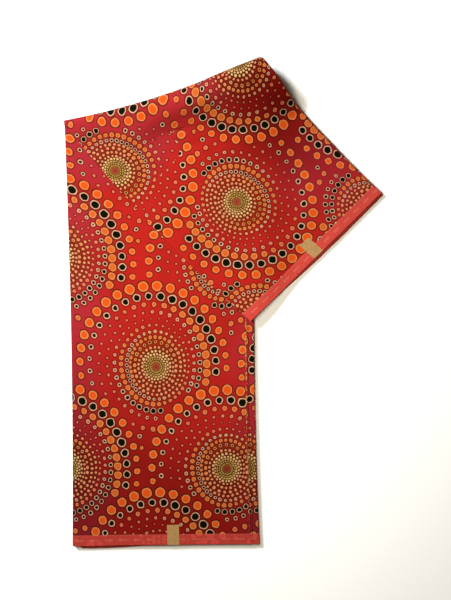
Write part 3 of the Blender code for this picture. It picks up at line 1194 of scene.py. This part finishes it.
class DotRingGroup:
    """The node group that paints one ring of dots over the colour that it is given."""

    NAME = "Dot ring"

    def build(self, repeat: Repeat) -> bpy.types.NodeTree:
        """Makes the group.

        Args:
            repeat: how the motifs stand, for the discs that cover the outer rings.

        Returns:
            The group's tree.
        """
        floats = ("Angle", "Distance", "Half Pixel", *RINGS[0].values())
        inputs = [(name, "Color") for name in ("Under", "Rim", "Far Rim", "Heart")]
        inputs += [(name, "Float") for name in floats]
        inputs += [(name, "Vector") for name in ("Cover One", "Cover Two")]
        tree = node_group(self.NAME, "ShaderNodeTree", inputs, (("Colour", "Color"), ("Mask", "Float")))
        w = Wiring(tree)
        given = w.node("NodeGroupInput").outputs
        pitch = w.math("DIVIDE", FULL_TURN, given["Count"])
        number = w.math("ROUND", w.math("DIVIDE", w.minus(given["Angle"], given["Turn"]), pitch))
        centre = w.math("MULTIPLY_ADD", number, pitch, given["Turn"])
        beside = w.minus(given["Angle"], centre)
        first = w.math("COSINE", w.minus(centre, given["Reach At"]))
        double = w.times(w.minus(centre, given["Second At"]), 2.0)
        ring = w.math("MULTIPLY_ADD", first, given["Reach"], given["Ring Radius"])
        ring = w.math("MULTIPLY_ADD", w.math("COSINE", double), given["Second"], ring)
        seed = w.joined(number, given["Ring Radius"])
        chance = w.node("ShaderNodeTexWhiteNoise", {"Vector": seed}, noise_dimensions="2D").outputs["Value"]
        swelling = w.math("COSINE", w.minus(centre, given["Swell At"]))
        size = w.math("MULTIPLY_ADD", swelling, given["Swell"], w.math("MULTIPLY_ADD", chance, 0.2, 0.9))
        size = w.times(size, given["Dot"])
        across = w.times(beside, ring)
        outward = w.minus(given["Distance"], ring)
        offset = w.joined(across, outward)
        away = w.length(offset)

        seat = [w.times(ring, w.math(turned, centre)) for turned in ("COSINE", "SINE")]
        at = w.joined(seat[0], seat[1])
        one = repeat.disc_share(w, w.vector("SUBTRACT", at, given["Cover One"]))
        two = repeat.disc_share(w, w.vector("SUBTRACT", at, given["Cover Two"]))
        limit = w.math("MULTIPLY_ADD", size, 1.0 / repeat.disc[1], 1.0)
        shown = w.math("GREATER_THAN", w.math("MINIMUM", one, two), limit)

        soft = given["Half Pixel"]
        halo_out = w.math("MULTIPLY_ADD", size, 1.10, 2.0)
        halo = w.times(w.minus(halo_out, away), 0.6, clamp=True)
        halo = w.times(halo, shown)
        rim = w.math("DIVIDE", w.minus(size, away), soft, clamp=True)
        rim = w.times(rim, shown)
        growing = w.math("COSINE", w.minus(centre, given["Core At"]))
        share = w.math("MULTIPLY_ADD", growing, given["Core Swell"], given["Core"])
        heart = w.minus(w.times(share, size), away)
        heart = w.math("DIVIDE", heart, w.times(soft, 0.6), clamp=True)
        colour = w.mix(w.times(halo, 0.85), given["Under"], DYES.halo)
        near = w.math("MULTIPLY_ADD", swelling, 0.8, 0.5, clamp=True)
        colour = w.mix(rim, colour, w.mix(near, given["Far Rim"], given["Rim"]))
        colour = w.mix(w.times(heart, rim), colour, given["Heart"])
        w.node("NodeGroupOutput", {"Colour": colour, "Mask": rim})
        return tree


class WaxPrintGroup:
    """The node group that turns cloth coordinates into the printed colours of the cotton."""

    NAME = "Wax print"

    def __init__(self, repeat: Repeat, width: float) -> None:
        """Starts the print.

        Args:
            repeat: how the motifs stand.
            width: the cloth from selvage to selvage, in metres.
        """
        self.repeat = repeat
        self.width = width * MILLIMETRES
        # The painted shade near the strip's long edges grows with the distance across from fold_middle,
        # bouncing back every fold_apart, in millimetres of flat cloth.
        self.fold_middle = 190.0
        self.fold_apart = 322.0
        self.cut_at = 324.5
        self.ring_tree = DotRingGroup().build(repeat)

    def local(self, w: Wiring, flat: Feed, offset: tuple[float, float]) -> bpy.types.NodeSocket:
        """Places the sums that measure from the nearest motif of one kind.

        Args:
            w: the wiring.
            flat: the place on the cloth, in millimetres.
            offset: where one motif of the kind stands.

        Returns:
            The place, measured from the nearest motif.
        """
        half = (self.repeat.cell[0] / 2, self.repeat.cell[1] / 2, 1.0)
        cell = (self.repeat.cell[0], self.repeat.cell[1], 2.0)
        moved = w.vector("SUBTRACT", flat, (offset[0] - half[0], offset[1] - half[1], 0.0))
        inside = w.vector("WRAP", moved, cell, (0.0, 0.0, -1.0))
        return w.vector("SUBTRACT", inside, (half[0], half[1], 0.0))

    def gap_dots(
        self, w: Wiring, flat: Feed, even: tuple, odd: tuple, colour: Feed
    ) -> bpy.types.NodeSocket:
        """Paints small loose dots where no motif reaches.

        Args:
            w: the wiring.
            flat: the place on the cloth, in millimetres.
            even: where one motif of the first kind stands.
            odd: where one motif of the second kind stands.
            colour: what is under the dots.

        Returns:
            The colour with the dots.
        """
        spacing = self.repeat.gap_spacing
        inputs = {"Vector": flat, "Scale": 1.0 / spacing, "Randomness": 0.55}
        cells = w.node("ShaderNodeTexVoronoi", inputs, voronoi_dimensions="2D").outputs
        seat = w.vector("MULTIPLY", cells["Position"], IN_PLAN)
        clear = 1.0
        for offset in (even, odd):
            share = self.repeat.disc_share(w, self.local(w, seat, offset))
            clear = w.times(clear, w.math("GREATER_THAN", share, self.repeat.gap_clear))
        away = w.times(cells["Distance"], spacing)
        size = self.repeat.gap_dot
        dot = w.times(w.smooth(away, size + 0.5, size - 0.5), clear)
        halo = w.times(w.smooth(away, size + 2.2, size), clear)
        heart = w.times(w.smooth(away, size * 0.7, size * 0.45), clear)
        colour = w.mix(w.times(halo, 0.7), colour, DYES.halo)
        colour = w.mix(dot, colour, DYES.tan)
        return w.mix(heart, colour, DYES.orange)

    def selvage(self, w: Wiring, up: Feed, along: Feed, colour: Feed) -> bpy.types.NodeSocket:
        """Paints the plain bands along both selvages, with a row of faint dashes.

        Args:
            w: the wiring.
            up: the distance from one selvage, in millimetres.
            along: the distance down the length of cloth, in millimetres.
            colour: the print beside the bands.

        Returns:
            The colour with the bands.
        """
        edge = w.math("MINIMUM", up, w.minus(self.width, up))
        band = w.smooth(edge, 18.4, 17.6)
        line = w.times(w.smooth(edge, 16.6, 17.6), band)
        place = w.joined(w.times(along, 0.5), edge)
        specks = w.smooth(w.noise(place, 0.55, 3.0), 0.57, 0.68)
        dash = w.math("GREATER_THAN", w.math("FRACT", w.math("DIVIDE", along, 26.0)), 0.45)
        row = w.math("LESS_THAN", w.math("ABSOLUTE", w.minus(edge, 9.0)), 1.6)
        flecks = w.smooth(w.noise(place, 1.3, 2.0), 0.55, 0.66)
        plain = w.mix(w.times(specks, 0.45), DYES.selvage, DYES.ground_deep)
        plain = w.mix(w.times(flecks, 0.40), plain, DYES.selvage_line)
        plain = w.mix(w.times(w.times(dash, row), 0.35), plain, DYES.selvage_line)
        plain = w.mix(w.times(line, 0.55), plain, DYES.selvage_line)
        return w.mix(band, colour, plain)

    def cut_end(self, w: Wiring, flat: Feed, colour: Feed) -> bpy.types.NodeSocket:
        """Paints the paler threads that show along the cut end on the leg.

        Args:
            w: the wiring.
            flat: the place on the cloth, in millimetres.
            colour: the print beside the cut.

        Returns:
            The colour with the threads.
        """
        along = w.parts(flat)[0]
        near = w.smooth(along, self.cut_at - 4.5, self.cut_at - 1.5)
        bits = w.smooth(w.noise(flat, 0.20, 2.0), 0.46, 0.54)
        threads = w.mix(w.smooth(w.noise(flat, 0.09, 1.0), 0.45, 0.55), DYES.straw, DYES.orange)
        return w.mix(w.times(near, bits), colour, threads)

    def ground(self, w: Wiring, flat: Feed, away: Feed) -> bpy.types.NodeSocket:
        """Paints the red ground, uneven and browner near a motif's middle, with painted shade near the
        strip's edges and crease.

        Args:
            w: the wiring.
            flat: the place on the cloth, in millimetres.
            away: the distance from the middle of the nearest motif, in millimetres.

        Returns:
            The colour.
        """
        uneven = w.smooth(w.noise(flat, 0.012, 3.0), 0.35, 0.7)
        grain = w.smooth(w.noise(flat, 0.9, 2.0), 0.45, 0.75)
        colour = w.mix(w.times(uneven, 0.35), DYES.ground, DYES.ground_deep)
        colour = w.mix(w.times(grain, 0.22), colour, DYES.ground_deep)
        parts = w.parts(flat)
        # Painted shade: a darker, more purple red towards the strip's long edges low on the leg and round the
        # crease, broken up by random patches.
        to_fold = w.math("PINGPONG", w.minus(parts[0], self.fold_middle), self.fold_apart)
        to_fold = w.times(to_fold, w.smooth(parts[1], 640.0, 560.0))
        to_crest = w.smooth(parts[1], 960.0, 830.0, 0.0, 150.0)
        to_crest = w.times(to_crest, w.smooth(parts[1], 560.0, 640.0))
        patchy = w.times(w.noise(flat, 0.010, 2.0), 110.0)
        edge_and_crest_shade = w.math("ADD", w.math("MAXIMUM", to_fold, to_crest), patchy)
        colour = w.mix(w.smooth(edge_and_crest_shade, 130.0, 225.0, 0.0, 0.85), colour, DYES.shaded_ground)
        near = w.smooth(away, 62.0, 26.0, 0.0, 0.75)
        return w.mix(near, colour, DYES.ground_brown)

    def build(self) -> bpy.types.NodeTree:
        """Makes the group.

        Returns:
            The group's tree.
        """
        outputs = (("Colour", "Color"), ("Wax", "Float"))
        tree = node_group(self.NAME, "ShaderNodeTree", (("Cloth", "Vector"),), outputs)
        w = Wiring(tree)
        cloth = w.node("NodeGroupInput").outputs["Cloth"]
        flat = w.vector("MULTIPLY", cloth, (MILLIMETRES, MILLIMETRES, 0.0))
        shake = w.noise(flat, self.repeat.shake_scale, 2.0, "Color")
        shake = w.vector("SUBTRACT", shake, (0.5, 0.5, 0.5))
        size = self.repeat.shake_size
        shake = w.vector("MULTIPLY", shake, (size, size, 0.0))
        drawn = w.vector("ADD", flat, shake)
        even_at = self.repeat.first
        odd_at = (even_at[0] + self.repeat.step[0], even_at[1] + self.repeat.step[1])
        even, odd = (self.local(w, drawn, spot) for spot in (even_at, odd_at))
        shares = (self.repeat.disc_share(w, place) for place in (even, odd))
        in_even, in_odd = (w.math("LESS_THAN", share, 1.0) for share in shares)
        even_y, odd_y = (w.parts(place)[1] for place in (even, odd))
        covered = w.times(in_odd, w.math("GREATER_THAN", odd_y, even_y))
        use_even = w.times(in_even, w.minus(1.0, covered))
        local = w.node("ShaderNodeMix", {0: use_even, 4: odd, 5: even}, data_type="VECTOR").outputs[1]
        sign = w.math("MULTIPLY_ADD", use_even, 2.0, -1.0)
        down = -self.repeat.step[1]
        near_x = w.times(sign, self.repeat.step[0])
        far_x = w.times(sign, self.repeat.step[0] - self.repeat.cell[0])
        covers = {
            "Cover One": w.joined(near_x, down),
            "Cover Two": w.joined(far_x, down),
        }
        parts = w.parts(local)
        away = w.length(w.vector("MULTIPLY", local, IN_PLAN))
        angle = w.math("ARCTAN2", parts[1], parts[0])
        shared = {"Angle": angle, "Distance": away, "Half Pixel": self.repeat.half_pixel, **covers}
        colour = self.ground(w, flat, away)
        colour = self.gap_dots(w, drawn, even_at, odd_at, colour)
        wax = 0.0
        colour = w.mix(w.smooth(away, 9.4, 8.0), colour, DYES.halo)
        for outer, dye in ((7.2, DYES.tan), (6.0, DYES.halo), (5.0, DYES.heart), (1.4, DYES.halo)):
            colour = w.mix(w.smooth(away, outer + 0.5, outer - 0.5, 0.0, 0.85), colour, dye)
        for ring in RINGS:
            inputs = {**shared, **ring.values(), "Under": colour, "Rim": ring.rim, "Far Rim": ring.far_rim}
            inputs["Heart"] = ring.core
            placed = w.node("ShaderNodeGroup", inputs, node_tree=self.ring_tree)
            colour = placed.outputs["Colour"]
            wax = w.math("MAXIMUM", wax, placed.outputs["Mask"])
        colour = self.cut_end(w, flat, colour)
        along, up = w.parts(flat)[:2]
        colour = self.selvage(w, up, along, colour)
        w.node("NodeGroupOutput", {"Colour": colour, "Wax": wax})
        return tree


class WeaveGroup:
    """The node group for the plain weave of the cotton: a height from cloth coordinates."""

    NAME = "Plain weave"

    def build(self) -> bpy.types.NodeTree:
        """Makes the group.

        Returns:
            The group's tree.
        """
        inputs = (("Cloth", "Vector"), ("Threads a metre", "Float"))
        tree = node_group(self.NAME, "ShaderNodeTree", inputs, (("Height", "Float"),))
        w = Wiring(tree)
        given = w.node("NodeGroupInput").outputs
        turns = w.times(given["Threads a metre"], FULL_TURN)
        inputs = {0: given["Cloth"], "Scale": turns}
        threads = w.node("ShaderNodeVectorMath", inputs, operation="SCALE").outputs[0]
        parts = w.parts(threads)
        warp = w.math("ABSOLUTE", w.math("SINE", w.times(parts[0], 0.5)))
        weft = w.math("ABSOLUTE", w.math("SINE", w.times(parts[1], 0.5)))
        w.node("NodeGroupOutput", {"Height": w.math("MINIMUM", warp, weft)})
        return tree


def start_material(name: str) -> tuple[bpy.types.Material, Wiring]:
    """Returns a new material with no nodes in it, and the wiring of its tree.

    Args:
        name: what the material is called.

    Returns:
        The material, and what places and joins its nodes.
    """
    made = bpy.data.materials.new(name)
    made.use_nodes = True
    made.node_tree.nodes.clear()
    return made, Wiring(made.node_tree)


@dataclass(frozen=True)
class CottonFinish:
    """Printed cotton, with painted shade low on the leg, at the crease's peak and round one spot on the flap.
    """

    name: str
    roughness: float = 0.78
    specular: float = 0.02
    weave_bump: float = 0.00004
    threads_a_metre: float = 2600.0
    wear_bump: float = 0.0006
    wear_scale: float = 38.0
    # Painted shade: the colour that the print is multiplied by, low on the leg and at the crease's peak.
    shade_tint: tuple = linear(168, 104, 60)
    # How much of that painted shade the wax dots escape.
    wax_escapes_shade: float = 0.80
    # Painted shade at the crease's peak, where the cloth falls away from the light: its middle in plan, its
    # fade and its share.
    peak: tuple[float, float, float] = (0.095, 0.345, 0.0)
    peak_shade_fade: tuple[float, float] = (0.17, 0.03)
    peak_shade_share: float = 0.66
    # Painted shade low on the leg, darker towards its hem along a slanted line: the slant, the fade and the
    # share.
    low_slant: float = 0.35
    low_shade_fade: tuple[float, float] = (-0.07, -0.42)
    low_shade_share: float = 0.60
    # The leg's selvage band keeps only part of the painted shade: where the band ends, and the share that it
    # keeps.
    selvage_ends: tuple[float, float] = (0.0174, 0.0182)
    selvage_shade_share: float = 0.50
    # Painted shade: a darker crimson on the bare ground round one spot of the flap: the colour, the middle,
    # the fade and the share.
    shade_crimson: tuple = linear(168, 42, 56)
    shade_spot_middle: tuple[float, float, float] = (0.166, 0.235, 0.0)
    spot_shade_fade: tuple[float, float] = (0.115, 0.03)
    spot_shade_share: float = 0.60

    def material(self, print_tree: bpy.types.NodeTree, weave_tree: bpy.types.NodeTree) -> bpy.types.Material:
        """Makes the material.

        Args:
            print_tree: the node group of the print.
            weave_tree: the node group of the weave.

        Returns:
            The material.
        """
        made, w = start_material(self.name)
        cloth = w.node("ShaderNodeUVMap", uv_map="Cloth").outputs[0]
        place = w.node("ShaderNodeTexCoord").outputs["Object"]
        printed = w.node("ShaderNodeGroup", {"Cloth": cloth}, node_tree=print_tree)
        colour = printed.outputs["Colour"]
        seat = w.parts(place)
        bare = w.minus(1.0, printed.outputs["Wax"])
        # Painted shade: a darker crimson round one spot on the flap, on the bare ground only.
        spot_shade_mask = w.smooth(w.distance(place, self.shade_spot_middle), *self.spot_shade_fade, 0.0, self.spot_shade_share)
        colour = w.mix(w.times(spot_shade_mask, bare), colour, self.shade_crimson)
        # Painted shade low on the leg, darker towards its hem and weaker on the selvage band.
        low = w.math("MULTIPLY_ADD", seat[0], self.low_slant, seat[1])
        up = w.parts(cloth)[1]
        band = w.smooth(up, *self.selvage_ends, self.selvage_shade_share, 1.0)
        painted_shade = w.times(w.smooth(low, *self.low_shade_fade, 0.0, self.low_shade_share), band)
        # Painted shade at the crease's peak.
        peak_shade_mask = w.smooth(w.distance(place, self.peak), *self.peak_shade_fade, 0.0, self.peak_shade_share)
        painted_shade = w.math("MAXIMUM", painted_shade, peak_shade_mask)
        # The wax dots keep most of their brightness under the painted shade.
        shade_kept = w.math("MULTIPLY_ADD", printed.outputs["Wax"], -self.wax_escapes_shade, 1.0)
        painted_shade = w.times(painted_shade, shade_kept)
        colour = w.mix(painted_shade, colour, w.mix(1.0, colour, self.shade_tint, "MULTIPLY"))
        inputs = {"Cloth": cloth, "Threads a metre": self.threads_a_metre}
        weave = w.node("ShaderNodeGroup", inputs, node_tree=weave_tree)
        inputs = {"Vector": place, "Scale": self.wear_scale, "Detail": 3.0}
        soft = w.node("ShaderNodeTexNoise", inputs).outputs["Fac"]
        inputs = {"Strength": 0.35, "Distance": self.wear_bump, "Height": soft}
        inputs["Normal"] = w.node("ShaderNodeBump", inputs).outputs[0]
        inputs.update({"Strength": 0.5, "Distance": self.weave_bump, "Height": weave.outputs[0]})
        bumped = w.node("ShaderNodeBump", inputs).outputs[0]
        rough = w.mix_value(printed.outputs["Wax"], self.roughness, self.roughness - 0.06)
        inputs = {
            "Base Color": colour,
            "Roughness": rough,
            "Normal": bumped,
            "Specular IOR Level": self.specular,
        }
        surface = w.node("ShaderNodeBsdfPrincipled", inputs)
        w.node("ShaderNodeOutputMaterial", {"Surface": surface.outputs[0]})
        return made


@dataclass(frozen=True)
class PlainFinish:
    """One even finish, for the foil of the stickers and the loose threads."""

    name: str
    colour: tuple
    roughness: float
    metallic: float = 0.0
    mottle: float = 0.2
    mottle_scale: float = 300.0

    def material(self) -> bpy.types.Material:
        """Makes the material.

        Returns:
            The material.
        """
        made, w = start_material(self.name)
        place = w.node("ShaderNodeTexCoord").outputs["Object"]
        spots = w.node("ShaderNodeTexNoise", {"Vector": place, "Scale": self.mottle_scale}).outputs["Fac"]
        darker = tuple(value * 0.45 for value in self.colour[:3]) + (1.0,)
        colour = w.mix(w.smooth(spots, 0.4, 0.7, 0.0, self.mottle * 2.0), self.colour, darker)
        surface = w.node(
            "ShaderNodeBsdfPrincipled",
            {"Base Color": colour, "Roughness": self.roughness, "Metallic": self.metallic},
        )
        w.node("ShaderNodeOutputMaterial", {"Surface": surface.outputs[0]})
        return made


class FrayNodes:
    """The geometry nodes that set short loose threads along a cut edge."""

    NAME = "Frayed threads"
    INPUTS = (
        ("Geometry", "Geometry"), ("Threads", "Int"), ("Shortest", "Float"), ("Longest", "Float"),
        ("Thickness", "Float"), ("Seed", "Int"), ("Material", "Material"),
    )

    def build(self) -> bpy.types.NodeTree:
        """Makes the node tree, with inputs for the number, length and thickness of the threads.

        Returns:
            The tree.
        """
        tree = node_group(self.NAME, "GeometryNodeTree", self.INPUTS, (("Geometry", "Geometry"),))
        w = Wiring(tree)
        given = w.node("NodeGroupInput").outputs
        edge = w.node("GeometryNodeMeshToCurve", {"Mesh": given["Geometry"]}).outputs[0]
        seats = w.node("GeometryNodeCurveToPoints", {"Curve": edge, "Count": given["Threads"]}).outputs
        line = w.node("GeometryNodeCurvePrimitiveLine", {"Start": (0, 0, 0), "End": (1, 0, 0)}).outputs[0]
        line = w.node("GeometryNodeResampleCurve", {"Curve": line, "Count": 4}).outputs[0]
        share = w.node("GeometryNodeSplineParameter").outputs["Factor"]
        curl = w.node("ShaderNodeMath", {0: share, 1: 2.0}, operation="POWER").outputs[0]
        shift = w.node("ShaderNodeCombineXYZ", {1: w.times(curl, 0.45)}).outputs[0]
        line = w.node("GeometryNodeSetPosition", {"Geometry": line, "Offset": shift}).outputs[0]
        inputs = {"Resolution": 4, "Radius": given["Thickness"]}
        ring = w.node("GeometryNodeCurvePrimitiveCircle", inputs).outputs[0]
        inputs = {"Curve": line, "Profile Curve": ring, "Fill Caps": True}
        thread = w.node("GeometryNodeCurveToMesh", inputs).outputs[0]
        inputs = {"Name": "outward"}
        out = w.node("GeometryNodeInputNamedAttribute", inputs, data_type="FLOAT_VECTOR").outputs[0]
        aimed = w.node("FunctionNodeAlignRotationToVector", {"Vector": out}, axis="X").outputs[0]
        swing = w.node(
            "FunctionNodeRandomValue",
            {0: (-0.10, -0.35, -1.15), 1: (0.10, 0.10, 1.15), "Seed": given["Seed"]},
            data_type="FLOAT_VECTOR",
        ).outputs[0]
        turned = w.node(
            "FunctionNodeRotateRotation", {"Rotation": aimed, "Rotate By": swing}, rotation_space="LOCAL"
        ).outputs[0]
        drawn = w.node(
            "FunctionNodeRandomValue",
            {2: given["Shortest"], 3: given["Longest"], "Seed": given["Seed"]},
            data_type="FLOAT",
        ).outputs[1]
        scale = w.node("ShaderNodeCombineXYZ", {0: drawn, 1: drawn, 2: 1.0}).outputs[0]
        placed = w.node(
            "GeometryNodeInstanceOnPoints",
            {"Points": seats["Points"], "Instance": thread, "Rotation": turned, "Scale": scale},
        ).outputs[0]
        solid = w.node("GeometryNodeRealizeInstances", {"Geometry": placed}).outputs[0]
        inputs = {"Geometry": solid, "Material": given["Material"]}
        dressed = w.node("GeometryNodeSetMaterial", inputs).outputs[0]
        w.node("NodeGroupOutput", {"Geometry": dressed})
        return tree


@dataclass
class Fraying:
    """Loose threads along the cut ends of the cloth."""

    name: str
    threads: int = 560
    shortest: float = 0.0012
    longest: float = 0.0050
    thickness: float = 0.00018
    seed: int = 7

    def build(
        self, edges: list[tuple[np.ndarray, np.ndarray]], material: bpy.types.Material
    ) -> bpy.types.Object:
        """Sets threads along every edge given.

        Args:
            edges: for each edge, its points and the directions that its threads take.
            material: what the threads are made of.

        Returns:
            The piece, as a plain mesh.
        """
        points = np.concatenate([edge[0] for edge in edges])
        outward = np.concatenate([edge[1] for edge in edges])
        joins, start = [], 0
        for edge in edges:
            count = len(edge[0])
            joins += [(start + n, start + n + 1) for n in range(count - 1)]
            start += count
        mesh = bpy.data.meshes.new(self.name)
        mesh.from_pydata([tuple(p) for p in points], joins, [])
        attribute = mesh.attributes.new("outward", "FLOAT_VECTOR", "POINT")
        attribute.data.foreach_set("vector", outward.astype(np.float32).ravel())
        line = placed_object(self.name + " line", mesh)
        tree = FrayNodes().build()
        modifier = line.modifiers.new("Threads", "NODES")
        modifier.node_group = tree
        values = {
            "Threads": self.threads,
            "Shortest": self.shortest,
            "Longest": self.longest,
            "Thickness": self.thickness,
            "Seed": self.seed,
            "Material": material,
        }
        sockets = {s.name: s.identifier for s in tree.interface.items_tree if s.in_out == "INPUT"}
        for name, value in values.items():
            modifier[sockets[name]] = value
        graph = bpy.context.evaluated_depsgraph_get()
        made = placed_object(self.name, bpy.data.meshes.new_from_object(line.evaluated_get(graph)))
        bpy.data.objects.remove(line)
        LOG.info("%s: %d faces", self.name, len(made.data.polygons))
        return made


@dataclass(frozen=True)
class Studio:
    """The pale surface, the soft lights and the camera over it."""

    camera_at: tuple[float, float, float] = (0.0029, 0.0065, 1.6)
    seen_height: float = 1.032
    sensor: float = 36.0
    floor_drop: float = 0.0004
    floor_half: float = 4.0
    key_from: tuple[float, float, float] = (-1.0, 0.85, 0.98)
    key_distance: float = 2.2
    key_size: float = 0.50
    key_watts: float = 78.0
    key_colour: tuple[float, float, float] = (0.98, 0.99, 1.0)
    fill_from: tuple[float, float, float] = (-0.13, 0.02, 0.78)
    fill_distance: float = 0.79
    fill_size: float = 0.34
    fill_watts: float = 5.3
    fill_colour: tuple[float, float, float] = (1.0, 0.93, 0.76)
    ambient: float = 0.10
    ambient_colour: tuple[float, float, float] = (1.0, 0.90, 0.72)

    def floor(self) -> bpy.types.Object:
        """Lays the pale surface that the cloth lies on.

        Returns:
            The surface, as an object.
        """
        half = self.floor_half
        corners = [(-half, -half), (half, -half), (half, half), (-half, half)]
        mesh = bpy.data.meshes.new("surface")
        mesh.from_pydata([(x, y, -self.floor_drop) for x, y in corners], [], [(0, 1, 2, 3)])
        pale = PlainFinish("Pale surface", (0.95, 0.95, 0.945, 1.0), 0.9, mottle=0.0)
        mesh.materials.append(pale.material())
        return placed_object("surface", mesh)

    def lamp(
        self, name: str, direction: tuple, distance: float, size: float, watts: float, colour: tuple
    ) -> None:
        """Hangs one square soft light that faces the cloth.

        Args:
            name: the lamp's name.
            direction: where it hangs, as seen from the cloth.
            distance: how far from the cloth it hangs.
            size: the length of its side.
            watts: its power.
            colour: the colour of its light.
        """
        data = bpy.data.lights.new(name, "AREA")
        data.size = size
        data.energy = watts
        data.color = colour
        lamp = placed_object(name, data)
        away = Vector(direction).normalized()
        lamp.location = away * distance
        lamp.rotation_euler = away.to_track_quat("Z", "Y").to_euler()

    def light(self) -> None:
        """Lights the scene from the upper left, with soft light from all round."""
        key = (self.key_from, self.key_distance, self.key_size, self.key_watts, self.key_colour)
        fill = (self.fill_from, self.fill_distance, self.fill_size, self.fill_watts, self.fill_colour)
        self.lamp("Key", *key)
        self.lamp("Fill", *fill)
        world = bpy.data.worlds.new("Studio")
        world.use_nodes = True
        around = world.node_tree.nodes["Background"].inputs
        around["Color"].default_value = (*self.ambient_colour, 1.0)
        around["Strength"].default_value = self.ambient
        bpy.context.scene.world = world

    def camera(self) -> None:
        """Places the camera straight above the cloth."""
        data = bpy.data.cameras.new("Camera")
        data.sensor_width = self.sensor
        data.lens = self.sensor * self.camera_at[2] / self.seen_height
        camera = placed_object("Camera", data)
        camera.location = self.camera_at
        bpy.context.scene.camera = camera
        bpy.context.scene.view_settings.view_transform = "Standard"


@dataclass
class FoldedCloth:
    """The whole length of cloth with its two stickers."""

    pile: Pile
    hidden_shown: float = 0.62
    leg_stretches: tuple = ((LEG, 0.985, 190), (1.0, FLAP, 34), (2.02, END, 44))
    flap_stretches: tuple = ((LEG, 0.98, 40), (1.0, FLAP, 50), (2.006, END, 160))
    cotton: CottonFinish = field(default_factory=lambda: CottonFinish("Printed cotton"))
    foil: PlainFinish = field(
        default_factory=lambda: PlainFinish("Sticker foil", linear(214, 164, 94), 0.58, 0.15)
    )
    yarn: PlainFinish = field(
        default_factory=lambda: PlainFinish("Loose threads", linear(240, 140, 104), 0.8)
    )

    def declare(self, piece: bpy.types.Object, slot: str, *nodes: str) -> None:
        """Lets a piece ride on the one body, and hides the solids that it stands for.

        Args:
            piece: the piece.
            slot: not used.
            nodes: the solids that it replaces.
        """
        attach(piece, "root")
        if nodes:
            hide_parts(*nodes)

    def build(self) -> None:
        """Builds and dresses every piece, sets it on the one body and hides the solids that it stands for."""
        lengths = PathLengths(self.pile)
        hems = Hems(self.pile)
        print_map = Print(self.pile)
        print_tree = WaxPrintGroup(Repeat(), self.pile.selvage_to_selvage).build()
        cotton = self.cotton.material(print_tree, WeaveGroup().build())
        foil, yarn = self.foil.material(), self.yarn.material()
        shared = (self.pile, lengths, hems, print_map)

        leg_rows, flap_rows = (
            np.concatenate([np.linspace(*stretch) for stretch in stretches])
            for stretches in (self.leg_stretches, self.flap_stretches)
        )
        top = ClothSheet(
            "top_sheet", *shared, layer=1, neighbour=2, raw=RawEdge(0.0140, 0.0012, 0.4), alongs=leg_rows,
            rumples=LEG_RUMPLES,
        )
        outer = ClothSheet(
            "outer_sheet", *shared, layer=self.pile.layers, neighbour=self.pile.layers - 1,
            raw=RawEdge(0.0022, 0.0007, 2.0), alongs=flap_rows, rumples=FLAP_RUMPLES,
        )
        hidden = FoldedLayers("layers_between", *shared)
        sheets = {
            "front_panel": top.build(cotton),
            "flap_panel": outer.build(cotton),
            "hidden_layers": hidden.build(cotton),
        }
        for node, piece in sheets.items():
            self.declare(piece, "printed_cotton", node)
        stickers = (
            (Sticker("leg_sticker", self.pile, hems, 1, 0.538), "front_label"),
            (Sticker("flap_sticker", self.pile, hems, self.pile.layers, 0.517), "flap_label"),
        )
        for sticker, node in stickers:
            self.declare(sticker.build(foil), "label", node)
        edges = [top.cut_edge(240, 0.01, 0.93), outer.cut_edge(200, 1.30, 2.97)]
        self.declare(Fraying("loose_threads").build(edges, yarn), "cloth_edges")


LEG_RUMPLES = (
    Crease((-0.215, 0.17), (-0.06, -0.05), 0.0006, 0.016),
    Crease((-0.24, -0.02), (-0.10, -0.20), 0.0005, 0.020),
    Crease((-0.02, -0.10), (0.03, -0.30), 0.0006, 0.014),
    Crease((-0.20, -0.26), (-0.02, -0.34), 0.0004, 0.012),
)
FLAP_RUMPLES = (
    Crease((0.02, 0.30), (-0.10, 0.22), 0.0006, 0.012),
    Crease((0.16, 0.20), (0.08, 0.05), 0.0006, 0.015),
    Crease((0.21, 0.16), (0.17, 0.07), 0.0005, 0.010),
    Crease((-0.045, 0.375), (0.085, 0.395), 0.0024, 0.034),
    Crease((0.020, 0.375), (-0.095, 0.280), 0.0026, 0.026),
    Crease((-0.060, 0.290), (-0.185, 0.195), -0.0022, 0.024),
)
FLAP_FOLDS = (
    Crease((0.020, 0.375), (-0.130, 0.250), -0.0075, 0.030),
    Crease((0.075, 0.330), (-0.020, 0.190), 0.0025, 0.024),
    Crease((-0.090, 0.335), (-0.200, 0.250), 0.0020, 0.020),
)


def main() -> None:
    """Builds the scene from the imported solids."""
    logging.basicConfig(level=logging.INFO, format="%(name)s: %(message)s")
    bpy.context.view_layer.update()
    FoldedCloth(Pile(creases=FLAP_FOLDS)).build()
    studio = Studio()
    studio.floor()
    studio.light()
    studio.camera()


if __name__ == "__main__":
    main()
